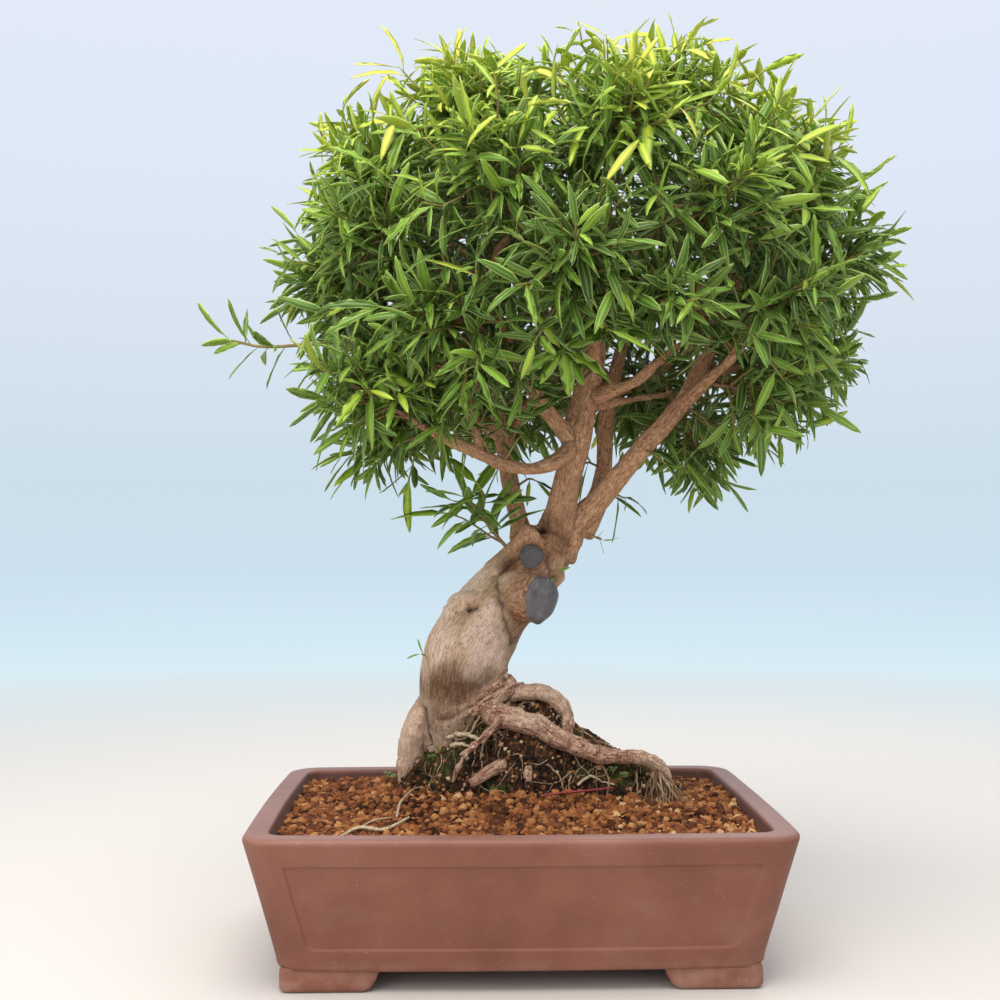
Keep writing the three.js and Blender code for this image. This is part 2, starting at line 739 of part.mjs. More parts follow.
// The leafy tufts: a golden-angle spiral over the canopy's globe, each pointing away from the middle,
// and a few that hang below it.
function tuftPlaces() {
  const { middle, origin, halfX, halfY, up, down, tufts, lowest, turn } = CANOPY;
  const places = [];
  for (let i = 0; i < tufts; i++) {
    const uz = 1 - (lowest * (i + 0.5)) / tufts;
    const flat = Math.sqrt(1 - uz * uz);
    const angle = i * GOLDEN + turn;
    const ux = flat * Math.cos(angle);
    const uy = flat * Math.sin(angle);
    const end = new THREE.Vector3(
      middle.x + halfX * ux,
      middle.y + halfY * uy,
      middle.z + (uz > 0 ? up : down) * uz,
    );
    const atWindow = uy < WINDOW.front && end.x > WINDOW.left && end.x < WINDOW.right;
    if (atWindow && uz < WINDOW.below) continue;
    if (atWindow && uz < WINDOW.below + WINDOW.edge) end.z += WINDOW.lift;
    const along = end.clone().sub(origin).normalize();
    places.push({ along, base: end.addScaledVector(along, -TUFT.reach) });
  }
  for (const [base, direction] of LOW_TUFTS)
    places.push({
      along: new THREE.Vector3(...direction).normalize(),
      base: new THREE.Vector3(...base),
    });
  return places.map((place, n) => ({ ...place, number: n + 1 }));
}

// Shifts each tuft by one of these until it and its bare branch keep clear of the limbs and of the
// other tufts.
const SIDES = [[0, 0, 1], [0, 0, -1], [1, 0, 0], [-1, 0, 0], [0, 1, 0], [0, -1, 0]];
const SHIFTS = [15, 28].flatMap((step) =>
  SIDES.map((side) => new THREE.Vector3(...side).multiplyScalar(step)),
);
SHIFTS.unshift(new THREE.Vector3());

function settleTufts(places, limbs, springs) {
  const wood = [...limbs];
  const bodies = [];
  const settled = [];
  for (const { number, along, base: asked } of places) {
    const found = SHIFTS.some((shift) => {
      const base = asked.clone().add(shift);
      const body = boxed(tuftBody({ base, along }, GAP));
      const branch = boxed(bareBranch(base, along, springs, null, GAP));
      if (!isClear(body.body, [...wood, ...bodies]) || !isClear(branch.body, bodies)) return false;
      bodies.push(body);
      wood.push(branch);
      settled.push({ number, along, base });
      return true;
    });
    if (!found) console.log("no room for tuft " + number);
  }
  return settled;
}

// The shoots of a tuft, with the places of all their leaves. The last shoot runs on along the stem.
function tuftShoots({ number, along, base }) {
  const { stem, firstShoot, firstLeaf, shootLength, shootRange, shootSpread, spreadFall, lift } = TUFT;
  const leaf = TUFT_LEAF;
  const rnd = randomSource(number);
  const shoots = [];
  const last = TUFT.shoots - 1;
  for (let k = 0; k <= last; k++) {
    const share = k / last;
    const start = base.clone().addScaledVector(along, stem * (firstShoot + (1 - firstShoot) * share));
    const spread = shootSpread * DEGREE * (1 - share ** spreadFall);
    const direction = leaning(along, spread, k * GOLDEN + number);
    direction.z += lift * (1 - share);
    direction.normalize();
    const length = shootLength + (k < last ? shootRange * rnd() : 0);
    const leaves = [];
    for (let j = 0; j < TUFT.leaves; j++) {
      const part = (j + 1) / TUFT.leaves;
      const way = length * (firstLeaf + (1 - firstLeaf) * part);
      const root = start.clone().addScaledVector(direction, way);
      const open = (leaf.open - leaf.openFall * part + leaf.openRange * (rnd() - 0.5)) * DEGREE;
      const size = (leaf.length + leaf.lengthRange * rnd()) * (part < 1 ? 1 : leaf.lastLeaf);
      const droop = leaf.droop + leaf.droopRange * rnd();
      leaves.push({ root, open, azimuth: j * GOLDEN + k, length: size, droop });
    }
    shoots.push({ k, start, direction, length, leaves });
  }
  return shoots;
}

// Which shoots and leaves are cut as solids. The rest are left to the finer model.
const SOLID_SHOOTS = [2, 6, TUFT.shoots - 1];
function isSolidLeaf(k, j) {
  return k === TUFT.shoots - 1 ? j % 2 === 1 : j === 5 || j === 8;
}
const TURNS = [0, 40, -40, 80, -80]; // degrees that a leaf may turn about its shoot to hang clear

// Adds the first of a leaf's turned forms that hangs clear of the other nodes, and whose outer part
// doesn't run through its own node, or none.
function withLeaf(body, shootDirection, leaf, others) {
  for (const turn of TURNS) {
    const azimuth = leaf.azimuth + turn * DEGREE;
    const form = leafOn(shootDirection, leaf.root, leaf.open, azimuth, leaf.length, leaf.droop);
    if (!isClear(leafBlade(form, GAP), others)) continue;
    if (leafBlade(form, 0, true).intersect(body).volume() < 1e-3) return body.add(leafBlade(form));
  }
  return body;
}

// The tuft's stem and the slim green body that its leaves stand out of, in one.
function tuftBody({ base, along }, extra = 0) {
  const { stem, stemRadius, coreRadius, shootLength, bud } = TUFT;
  const ringAt = (distance, radius) => {
    const middle = base.clone().addScaledVector(along, distance);
    return [0, 1, 2, 3].map((a) =>
      leaning(along, Math.PI / 2, (Math.PI * a) / 2)
        .multiplyScalar(radius + extra)
        .add(middle),
    );
  };
  return skinOver([
    ringAt(GAP, stemRadius),
    ringAt(stem * 0.3, stemRadius),
    ringAt(stem * 1.05, coreRadius),
    ringAt(stem + shootLength + bud + extra, -extra),
  ]);
}

function makeTuft(place, others) {
  let body = tuftBody(place);
  for (const { k, start, direction, length, leaves } of tuftShoots(place)) {
    if (!SOLID_SHOOTS.includes(k)) continue;
    if (k < TUFT.shoots - 1) {
      const twig = (extra) => sideShoot(start, direction, length, extra);
      if (!isClear(twig(GAP), others)) continue;
      body = body.add(twig(0));
    }
    leaves.forEach((leaf, j) => {
      if (isSolidLeaf(k, j)) body = withLeaf(body, direction, leaf, others);
    });
  }
  return mainBody(body);
}

// A short twig that swells from a point inside the tuft's body and ends in a point.
function sideShoot(from, direction, length, extra) {
  const at = (distance) => from.clone().addScaledVector(direction, distance);
  const middle = at(length * 0.4);
  const ring = [0, 1, 2].map((a) =>
    leaning(direction, Math.PI / 2, (2 * Math.PI * a) / 3)
      .multiplyScalar(TUFT.twigRadius + extra)
      .add(middle),
  );
  const start = at(-3);
  const tip = at(length + TUFT.bud + extra);
  return skinOver([[start, start, start], ring, [tip, tip, tip]]);
}

// A single long shoot with leaves all along it.
function shootLine({ from, stem, radius }, extra = 0) {
  const points = [from, ...stem].map(([x, y, z], n) => [x, y, z, radius * (1 - 0.12 * n)]);
  return bar(points, 5, points.length, { extra });
}

function shootLeaves({ from, stem, leaves, length, seed }) {
  const line = new THREE.CatmullRomCurve3(
    [from, ...stem].map(([x, y, z]) => new THREE.Vector3(x, y, z)),
    false,
    "catmullrom",
  );
  const { first, over, shortest, lengthRange, openFall, openRange, droop } = SHOOT_LEAF;
  const rnd = randomSource(seed);
  const found = [];
  for (let j = 0; j < leaves; j++) {
    const part = (j + 1) / leaves;
    const t = first + over * part;
    const open = (SHOOT_LEAF.open - openFall * part + openRange * (rnd() - 0.5)) * DEGREE;
    const size = length * (shortest + lengthRange * rnd());
    const leaf = { root: line.getPoint(t), open, azimuth: j * GOLDEN + seed, length: size, droop };
    found.push({ direction: line.getTangent(t), leaf });
  }
  return found;
}

function makeShoot(shoot, others) {
  let body = shootLine(shoot);
  for (const { direction, leaf } of shootLeaves(shoot)) body = withLeaf(body, direction, leaf, others);
  return mainBody(body);
}

// The paste that seals a sawn-off limb: a low dome with an uneven edge.
function makePaste({ from, to, radius }) {
  const start = new THREE.Vector3(...to);
  const out = start.clone().sub(new THREE.Vector3(...from)).normalize();
  const rings = [GAP, PASTE.middle, PASTE.thickness].map((distance, n) => [
    ...start.clone().addScaledVector(out, distance),
    radius * PASTE.shares[n],
  ]);
  return bar(rings, TRUNK_SHAPE.sides, rings.length - 1, { lobes: PASTE.lobes });
}

// Assembly

const group = new THREE.Group();
function place(name, solid, material) {
  const mesh = new THREE.Mesh(geometryFrom(solid), material);
  mesh.name = name;
  group.add(mesh);
  return boxed(solid);
}

place("tray", makeTray(), STONEWARE);
for (const [name, side] of [["left", -1], ["right", 1]])
  place("drain_mesh_" + name, makeDrainMesh((side * DRAIN.spacing) / 2), MESH_PLASTIC);

const springs = limbSprings();
const woodBars = [...trunkBars(0), ...limbBars()];
const tufts = settleTufts(tuftPlaces(), woodBars.map(boxed), springs);
for (const { along, base } of tufts) woodBars.push(bareBranch(base, along, springs));
for (const shoot of SHOOTS)
  if (shoot.limb) {
    const base = new THREE.Vector3(...shoot.from);
    const along = new THREE.Vector3(...shoot.stem[0]).sub(base).normalize();
    base.addScaledVector(along, -GAP);
    woodBars.push(bareBranch(base, along, springs, shoot.limb));
  }
let wood = joined(woodBars);
for (const shoot of SHOOTS) if (shoot.socket) wood = wood.subtract(shootLine(shoot, GAP));
wood = mainBody(wood);
const woodPlaced = place("trunk_and_branches", wood, BARK);

const fatTrunk = joined(trunkBars(GAP));
const rootBall = mainBody(mound(0).subtract(fatTrunk));
place("root_ball", rootBall, DARK_SOIL);
place("grain_bed", makeGrainBed([mound(GAP), fatTrunk]), BAKED_CLAY_GRAINS);
const pastes = Object.entries(WOUNDS).map(([name, wound]) =>
  place("cut_paste_" + name, makePaste(wound), CUT_PASTE),
);

// Leaves keep clear of what is placed already and of the bodies of the tufts that follow.
const standing = [woodPlaced, ...pastes];
const waiting = tufts.map((tuft) => boxed(tuftBody(tuft, GAP)));
for (const shoot of SHOOTS) {
  const body = makeShoot(shoot, [...standing, ...waiting]);
  standing.push(place(shoot.name, body, LEAF_GREEN));
}
for (const tuft of tufts) {
  waiting.shift();
  const body = makeTuft(tuft, [...standing, ...waiting]);
  standing.push(place("spray_" + String(tuft.number).padStart(2, "0"), body, LEAF_GREEN));
}

const wholeBox = new THREE.Box3().setFromObject(group);
const centre = wholeBox.getCenter(new THREE.Vector3());
group.position.set(-centre.x, -centre.y, -wholeBox.min.z);

export default group;
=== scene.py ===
import json
import math

import bmesh
import bpy
import numpy as np
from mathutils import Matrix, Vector

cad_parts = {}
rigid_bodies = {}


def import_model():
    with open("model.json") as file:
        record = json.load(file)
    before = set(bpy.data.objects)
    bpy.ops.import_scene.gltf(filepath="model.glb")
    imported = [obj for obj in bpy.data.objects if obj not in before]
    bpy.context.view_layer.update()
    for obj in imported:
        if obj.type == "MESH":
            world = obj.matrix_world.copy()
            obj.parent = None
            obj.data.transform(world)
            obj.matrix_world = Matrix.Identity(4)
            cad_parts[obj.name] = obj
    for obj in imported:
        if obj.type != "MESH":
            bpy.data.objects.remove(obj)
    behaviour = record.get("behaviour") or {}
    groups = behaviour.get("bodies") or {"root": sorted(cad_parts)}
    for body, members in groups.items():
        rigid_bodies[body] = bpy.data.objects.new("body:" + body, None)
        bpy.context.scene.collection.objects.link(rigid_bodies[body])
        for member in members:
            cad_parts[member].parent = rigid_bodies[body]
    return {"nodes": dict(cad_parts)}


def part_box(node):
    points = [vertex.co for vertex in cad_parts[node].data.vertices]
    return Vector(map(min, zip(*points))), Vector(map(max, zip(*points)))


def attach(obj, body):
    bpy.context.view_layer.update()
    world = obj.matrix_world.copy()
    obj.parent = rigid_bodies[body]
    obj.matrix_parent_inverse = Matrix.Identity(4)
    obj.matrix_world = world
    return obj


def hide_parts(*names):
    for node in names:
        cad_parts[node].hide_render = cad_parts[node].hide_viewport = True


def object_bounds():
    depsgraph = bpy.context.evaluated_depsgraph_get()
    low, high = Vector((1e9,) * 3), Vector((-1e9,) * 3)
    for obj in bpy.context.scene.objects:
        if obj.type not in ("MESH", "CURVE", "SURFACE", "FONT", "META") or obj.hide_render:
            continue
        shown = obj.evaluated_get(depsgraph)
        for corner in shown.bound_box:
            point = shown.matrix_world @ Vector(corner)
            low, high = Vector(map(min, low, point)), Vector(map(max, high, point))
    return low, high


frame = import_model()
cad_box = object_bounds()

MM = 0.001
GAP = 0.4  # between pieces that grow out of each other
GOLDEN = math.pi * (3 - math.sqrt(5))
tray_low, tray_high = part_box("tray")
TRAY_MIDDLE = np.array([(tray_low.x + tray_high.x) / 2, (tray_low.y + tray_high.y) / 2, 0.0])


def vec(*values):
    return np.array(values, float)


# Tray
LENGTH, DEPTH, HEIGHT = 382, 290, 107
FOOT_HEIGHT, FLOOR_TOP = 14, 25
WALL_LEAN, LIP_WIDTH, WALL_AT_FLOOR, CORNER_RADIUS = 23, 18, 38, 22
BOW_SHORT, BOW_LONG = 2.5, 4
PANEL_DEPTH, PANEL_TOP, PANEL_BOTTOM, PANEL_MARGIN = 1.6, 88, 30, 25
FOOT_OUTER, FOOT_X, FOOT_Y, FOOT_THICK = 4, 69, 58, 24
DRAIN_SPACING, DRAIN_RADIUS = 170, 16
# Soil: its height at the edge, the root ball's middle, half sizes and heights
SOIL_EDGE = 96.5
BALL_X, BALL_Y, BALL_HALF_X, BALL_HALF_Y = 22, 42, 104, 43
BALL_CREST, BALL_FALL_FROM, BALL_CREST_AT_END, BALL_SUNK_TO = 177, 30, 128, 52
# Head: an egg about its middle. Its tufts spread from an origin and keep clear of an open view of the limbs
MIDDLE, ORIGIN = vec(56, 25, 525), vec(52, 30, 450)
HALF_X, HALF_Y, UP, DOWN = 258, 205, 200, 222
WINDOW = {"left": -30, "right": 165, "front": -0.2, "below": -0.45, "edge": 0.1, "lift": 50}
LOW_TUFTS = [
    (-82, -50, 394, -0.75, -0.45, 0.42), (-54, 8, 404, -0.85, 0.05, -0.4), (129, 57, 422, 0.4, 0.05, -0.8),
]
TUFT_COUNT, TUFT_REACH, TUFT_STEM, STEM_RADIUS = 34, 108, 40, 2.2
SHOOTS, SHOOT_LENGTH, SHOOT_SPREAD, SHOOT_LEAVES, LEAF_LENGTH, BUD = 11, 36, 62, 10, 31, 6
# Where the camera stands and looks, and its focal length in pixels
CAMERA, TOWARDS, FOCAL = (-41, -1019.5, 304.6), (0.0286, 1, 0.0286), 1330

# Trunk, roots and limbs: x, y, z and radius along each centreline
TRUNK = [
    (-38, 50, 104, 24), (-40, 49, 130, 30), (-41, 48, 155, 33), (-41, 47, 183, 34), (-36, 46, 213, 34.5),
    (-19, 45, 244, 31), (2, 44, 267, 28), (17, 43, 285, 25), (26, 42, 300, 21),
]
# Sawn-off stubs: start, end and radius
STUBS = {
    "lower": (vec(-3, 37, 261), vec(20, 14, 257), 18.5), "upper": (vec(17, 34, 287), vec(13, 15, 290), 9.5),
}
ROOTS = [
    [(-56, 46, 182, 12), (-71, 44, 165, 11.5), (-80, 46, 144, 10.8), (-83, 50, 122, 10), (-80, 54, 90, 8)],
    [
        (-2, 34, 190, 10), (-19, 22, 181, 9), (-38, 21, 170, 8.5), (-52, 28, 161, 7), (-62, 40, 150, 6),
        (-66, 46, 128, 5.5),
    ],
    [
        (-19, 24, 168, 10), (-8, 15, 166, 9.2), (4, 10, 164, 8.6), (18, 8, 159, 8.6), (38, 6, 149, 8),
        (65, 6, 138, 6.8), (92, 6, 136, 5.8), (109, 5, 131, 4.8), (117, 5, 121, 3.8), (116, 6, 90, 3),
    ],
    [
        (-9, 36, 183, 9), (8, 29, 184, 7.2), (23, 26, 183, 6.4), (36, 26, 175, 6), (42, 24, 163, 5.2),
        (40, 14, 146, 4.4),
    ],
    [(-8, 20, 174, 4), (-16, 4, 161, 3), (-28, -3, 150, 2.6), (-40, -5, 138, 2.2), (-48, 2, 118, 1.8)],
    [(-14, 32, 138, 7), (-9, 10, 131, 5.8), (-19, -1, 127, 5.4), (-35, -6, 119, 3.6)],
    [(-4, 42, 148, 8), (7, 14, 141, 5.6), (9, 3, 132, 4.6), (9, -2, 118, 4)],
    [(-48, 66, 176, 12), (-66, 84, 150, 9), (-84, 96, 120, 7), (-92, 102, 90, 6)],
    [(-14, 68, 168, 12), (16, 86, 146, 9), (52, 94, 124, 7), (84, 98, 92, 5)],
]
KNOB = [(10, 37, 288, 13), (14, 32, 303, 12), (18, 31, 313, 9)]
LIMBS = {
    "left_leader": [
        (13, 45, 290, 14), (5, 50, 317, 7.8), (-2, 55, 351, 7), (-8, 58, 384, 6.4), (-18, 60, 425, 5.6),
        (-34, 64, 474, 4.8), (-59, 70, 528, 3.6),
    ],
    "leader": [
        (26, 42, 286, 18), (38, 36, 328, 12), (44, 32, 357, 10.5), (50, 30, 382, 11), (53, 30, 403, 12),
        (63, 30, 441, 9), (71, 30, 485, 7), (74, 26, 539, 5.2), (72, 24, 588, 3.4),
    ],
    "right": [
        (34, 43, 294, 16), (51, 44, 317, 11), (70, 42, 337, 9), (102, 36, 375, 8), (133, 28, 411, 7.2),
        (148, 20, 440, 6.6), (156, 12, 458, 5), (169, 4, 495, 4), (180, -4, 522, 3),
    ],
    "right_fork": [(147, 21, 436, 5.5), (166, 18, 436, 4.2), (184, 12, 443, 3.6), (208, 4, 453, 3)],
    "back_right": [
        (54, 47, 309, 12), (68, 56, 333, 9), (75, 66, 360, 7), (78, 70, 407, 6.5), (91, 78, 460, 5.5),
        (104, 86, 505, 4.2), (112, 92, 540, 3),
    ],
    "low_left": [
        (47, 28, 377, 8), (31, 13, 364, 6.4), (10, 2, 358, 6), (-12, -10, 362, 5.6), (-35, -24, 371, 5),
        (-54, -36, 379, 4.5), (-74, -47, 388, 3),
    ],
    "low_left_rise": [(-26, -18, 367, 4.4), (-31, -26, 385, 3.8), (-37, -34, 403, 3.4), (-46, -44, 430, 3)],
    "up_left": [
        (48, 29, 378, 8), (31, 19, 398, 6.5), (16, 10, 417, 5.8), (0, 0, 445, 5), (-18, -12, 482, 4.2),
        (-34, -22, 512, 3.2),
    ],
    "right_front": [
        (57, 28, 415, 7), (91, 14, 425, 4.8), (113, -2, 442, 4.4), (134, -22, 455, 3.9), (152, -44, 468, 3),
    ],
    "thin_right": [(60, 34, 410, 5), (95, 47, 416, 3.4), (124, 56, 421, 3)],
    "front": [(63, 28, 440, 7), (59, -18, 456, 4.8), (52, -58, 482, 4), (46, -88, 508, 3)],
    "back_left": [(-9, 58, 386, 6), (-38, 84, 412, 4.6), (-64, 106, 440, 3.8), (-84, 120, 468, 3)],
    "back": [(79, 71, 412, 6), (72, 100, 440, 4.6), (62, 128, 478, 3.4)],
    "far_right": [(82, 72, 424, 6), (116, 94, 440, 4.6), (148, 108, 462, 3.8), (172, 114, 488, 3)],
    "left_middle": [(-18, 60, 424, 6), (-54, 46, 440, 4.6), (-90, 32, 460, 3.8), (-116, 22, 482, 3)],
    "near_right": [(131, 29, 408, 6), (146, -8, 424, 4.4), (160, -44, 440, 3.6), (168, -72, 458, 3)],
    "up_back": [(71, 30, 484, 6), (64, 58, 520, 4), (54, 86, 552, 3)],
    "up_front": [(64, 30, 450, 6), (34, 14, 500, 4.4), (14, 4, 545, 3.4), (2, 0, 570, 3)],
    "up_right": [(72, 29, 494, 6), (100, 20, 530, 4), (122, 12, 560, 3)],
}
# Single shoots: their leaves' length and the twig's radius, and the shoots that fork off them
SINGLE_SHOOTS = [
    {
        "name": "lower_shoot", "leaves": 11, "length": 41, "radius": 1.9, "seed": 71,
        "way": [(2, 40, 291), (-9, 33, 301), (-26, 22, 322), (-41, 14, 340)],
        "spare_leaves": 12, "side_leaves": 6, "side_shoots": [
            [(-12, 30, 305), (-22, 26, 317), (-34, 22, 330), (-50, 18, 334)],
            [(-9, 33, 301), (-22, 26, 308), (-36, 20, 318), (-52, 14, 324)],
            [(-26, 22, 322), (-24, 16, 334), (-28, 10, 346)],
        ],
    },
    {
        "name": "left_twig", "leaves": 9, "length": 38, "radius": 1.6, "seed": 33,
        "way": [(-130, 6, 456), (-164, -3, 452), (-194, -8, 450), (-218, -11, 455)],
        "spare_leaves": 3, "limb": "left_middle",
    },
    {
        "name": "base_shoot", "leaves": 3, "length": 13, "radius": 1.2, "seed": 12,
        "way": [(-60, 32, 210), (-68, 29, 212), (-73, 27, 214)],
    },
    {
        "name": "crotch_shoot", "leaves": 4, "length": 13, "radius": 1.2, "seed": 25,
        "way": [(56, 42, 311), (64, 37, 306), (70, 34, 303)],
        "side_leaves": 2, "side_shoots": [[(31, 29, 270), (32, 24, 273), (33, 21, 277)]],
    },
]

# Small tools


def in_frame(points):
    return np.asarray(points, float) * MM + TRAY_MIDDLE


def mesh_rows(mesh, what="co"):
    found = np.zeros(len(mesh.vertices) * 3)
    mesh.vertices.foreach_get(what, found)
    return found.reshape(-1, 3)


def solid_points(node):
    """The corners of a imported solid, in millimetres about the tray's middle."""
    return (mesh_rows(frame["nodes"][node].data) - TRAY_MIDDLE) / MM


def unit(vector):
    return vector / np.linalg.norm(vector)


def square_to(vector, axis):
    """The unit vector square to an axis that is nearest to a vector."""
    return unit(vector - axis * axis.dot(vector))


def distances(points, place):
    return np.linalg.norm(points - place, axis=1)


def leaning(axis, angle, azimuth):
    """A unit vector at an angle from an axis, turned by azimuth about it."""
    first = unit(np.cross(vec(0, 0, 1) if abs(axis[2]) < 0.9 else vec(1, 0, 0), axis))
    sideways = math.cos(azimuth) * first + math.sin(azimuth) * np.cross(axis, first)
    return unit(math.cos(angle) * axis + math.sin(angle) * sideways)


def random_source(seed):
    """The same sequence of numbers from 0 to 1 for the same seed."""
    state = seed * 7919 + 12345

    def draw():
        nonlocal state
        state = state * 16807 % 2147483647
        return state / 2147483647

    return draw


def smooth_step(low, high, value):
    share = np.clip((value - low) / (high - low), 0, 1)
    return share * share * (3 - 2 * share)


def soft_noise(points, size, seed=0):
    """Smooth random values from -1 to 1 whose features are about the given size."""
    place = np.asarray(points, float) / size + 17.3 * (seed + 1)
    cell = np.floor(place).astype(np.int64)
    share = place - cell
    share = share * share * (3 - 2 * share)
    total = np.zeros(len(place))
    for corner in np.ndindex(2, 2, 2):
        index = cell + corner
        mixed = index[:, 0] * 73856093 ^ index[:, 1] * 19349663 ^ index[:, 2] * 83492791
        mixed = (mixed ^ (mixed >> 13)) * 1274126177 & 0x7FFFFFFF
        mixed = (mixed ^ (mixed >> 16)) * 1103515245 & 0x7FFFFFFF
        total += np.prod(np.where(corner, share, 1 - share), axis=1) * (mixed / 0x3FFFFFFF - 1)
    return total


class SmoothLine:
    """A uniform Catmull-Rom curve through points, from t = 0 to t = 1."""

    def __init__(self, points):
        self.points = np.array([point[:3] for point in points], float)

    def point(self, t):
        points = self.points
        place = min(max(t, 0), 1) * (len(points) - 1)
        k = min(int(place), len(points) - 2)
        w = place - k
        a, b = points[k], points[k + 1]
        slope_a = (b - (points[k - 1] if k > 0 else 2 * points[0] - points[1])) / 2
        slope_b = ((points[k + 2] if k + 2 < len(points) else 2 * points[-1] - points[-2]) - a) / 2
        cubic, square = 2 * a - 2 * b + slope_a + slope_b, -3 * a + 3 * b - 2 * slope_a - slope_b
        return cubic * w**3 + square * w**2 + slope_a * w + a

    def tangent(self, t):
        step = 0.0001
        return unit(self.point(min(t + step, 1)) - self.point(max(t - step, 0)))


def radius_along(points, t):
    place = min(t * (len(points) - 1), len(points) - 1 - 1e-9)
    k = int(place)
    return points[k][3] + (points[k + 1][3] - points[k][3]) * (place - k)


def skin_over(rings):
    """Points and faces of a closed skin over rings of equally many points, with flat ends."""
    count = len(rings[0])
    faces = []
    for low in range(0, (len(rings) - 1) * count, count):
        for a in range(count):
            b = (a + 1) % count
            faces.append((low + a, low + b, low + count + b, low + count + a))
    last = (len(rings) - 1) * count
    faces += [tuple(reversed(range(count))), tuple(range(last, last + count))]
    return np.concatenate(rings), faces


def bar(points, sides, steps, lobes=0.0, rings_only=False):
    """A tapering round bar along a smooth line through (x, y, z, radius) points."""
    line = SmoothLine(points)
    across = vec(0, 1, 0.3)
    angles = 2 * math.pi * np.arange(sides) / sides
    rings = []
    for s in range(steps + 1):
        t = s / steps
        along = line.tangent(t)
        across = square_to(across, along)
        out = radius_along(points, t) * (1 + lobes * np.sin(3 * angles + 2.4 * t))
        wide = (out * np.cos(angles))[:, None] * across
        high = (out * np.sin(angles))[:, None] * np.cross(along, across)
        rings.append(line.point(t) + wide + high)
    return rings if rings_only else skin_over(rings)


def joined_parts(parts):
    """Several (points, faces) parts as one."""
    faces = []
    count = 0
    for part_points, part_faces in parts:
        faces += [tuple(count + k for k in face) for face in part_faces]
        count += len(part_points)
    return np.concatenate([points for points, _ in parts]), faces


def mesh_object(name, points, faces=(), edges=(), smooth=True):
    mesh = bpy.data.meshes.new(name)
    mesh.from_pydata(in_frame(points).tolist(), list(edges), list(faces))
    if smooth and len(faces):
        mesh.shade_smooth()
    made = bpy.data.objects.new(name, mesh)
    bpy.context.scene.collection.objects.link(made)
    return made


def add_attribute(made, name, values, kind="FLOAT"):
    attribute = made.data.attributes.new(name, kind, "POINT")
    attribute.data.foreach_set("vector" if kind == "FLOAT_VECTOR" else "value", np.asarray(values).ravel())


def settled(made):
    """Turns the result of an object's modifiers into its plain mesh."""
    depsgraph = bpy.context.evaluated_depsgraph_get()
    mesh = bpy.data.meshes.new_from_object(
        made.evaluated_get(depsgraph), preserve_all_data_layers=True, depsgraph=depsgraph
    )
    made.modifiers.clear()
    made.data = mesh
    return made


def modified(made, kind, **settings):
    modifier = made.modifiers.new(kind.lower(), kind)
    for name, value in settings.items():
        setattr(modifier, name, value)
    return made


def closed_object(name, points, faces, smooth=True):
    """An object made of closed shells, with all its faces outwards."""
    made = mesh_object(name, points, faces, smooth=smooth)
    work = bmesh.new()
    work.from_mesh(made.data)
    bmesh.ops.recalc_face_normals(work, faces=work.faces)
    work.to_mesh(made.data)
    work.free()
    return made


def finished(made, finish):
    made.data.materials.clear()
    made.data.materials.append(finish)
    return made


def keep(piece, slot, *replaced):
    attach(piece, "root")
    if replaced:
        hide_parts(*replaced)


def colour(code):
    """A colour given as a screen shows it, as linear light."""
    parts = [int(code[k:k + 2], 16) / 255 for k in (0, 2, 4)]
    return [*(c / 12.92 if c <= 0.04045 else ((c + 0.055) / 1.055) ** 2.4 for c in parts), 1]


class Nodes:
    """A node tree under construction."""

    def __init__(self, tree):
        self.tree = tree
        tree.nodes.clear()

    def node(self, kind, inputs=None, out=0, **settings):
        """Adds a node and gives one of its outputs. Its inputs are values or outputs of other nodes."""
        node = self.tree.nodes.new(kind)
        for name, value in settings.items():
            setattr(node, name, value)
        for name, value in (inputs or {}).items():
            if isinstance(value, bpy.types.NodeSocket):
                self.tree.links.new(value, node.inputs[name])
            else:
                node.inputs[name].default_value = value
        return node if out is None else node.outputs[out]

    def ramp(self, value, *stops):
        """Colours by value: stops are a place, its colour, the next place and so on."""
        node = self.node("ShaderNodeValToRGB", {"Fac": value}, None)
        elements = node.color_ramp.elements
        while len(elements) < len(stops) / 2:
            elements.new(0.5)
        for element, place, tint in zip(elements, stops[::2], stops[1::2]):
            element.position = place
            element.color = colour(tint)
        return node.outputs["Color"]

    def between(self, value, low, high, to_low=0.0, to_high=1.0):
        return self.node("ShaderNodeMapRange", {
            "Value": value, "From Min": low, "From Max": high, "To Min": to_low, "To Max": to_high,
        })

    def axis(self, vector, name):
        return self.node("ShaderNodeSeparateXYZ", {"Vector": vector}, name)


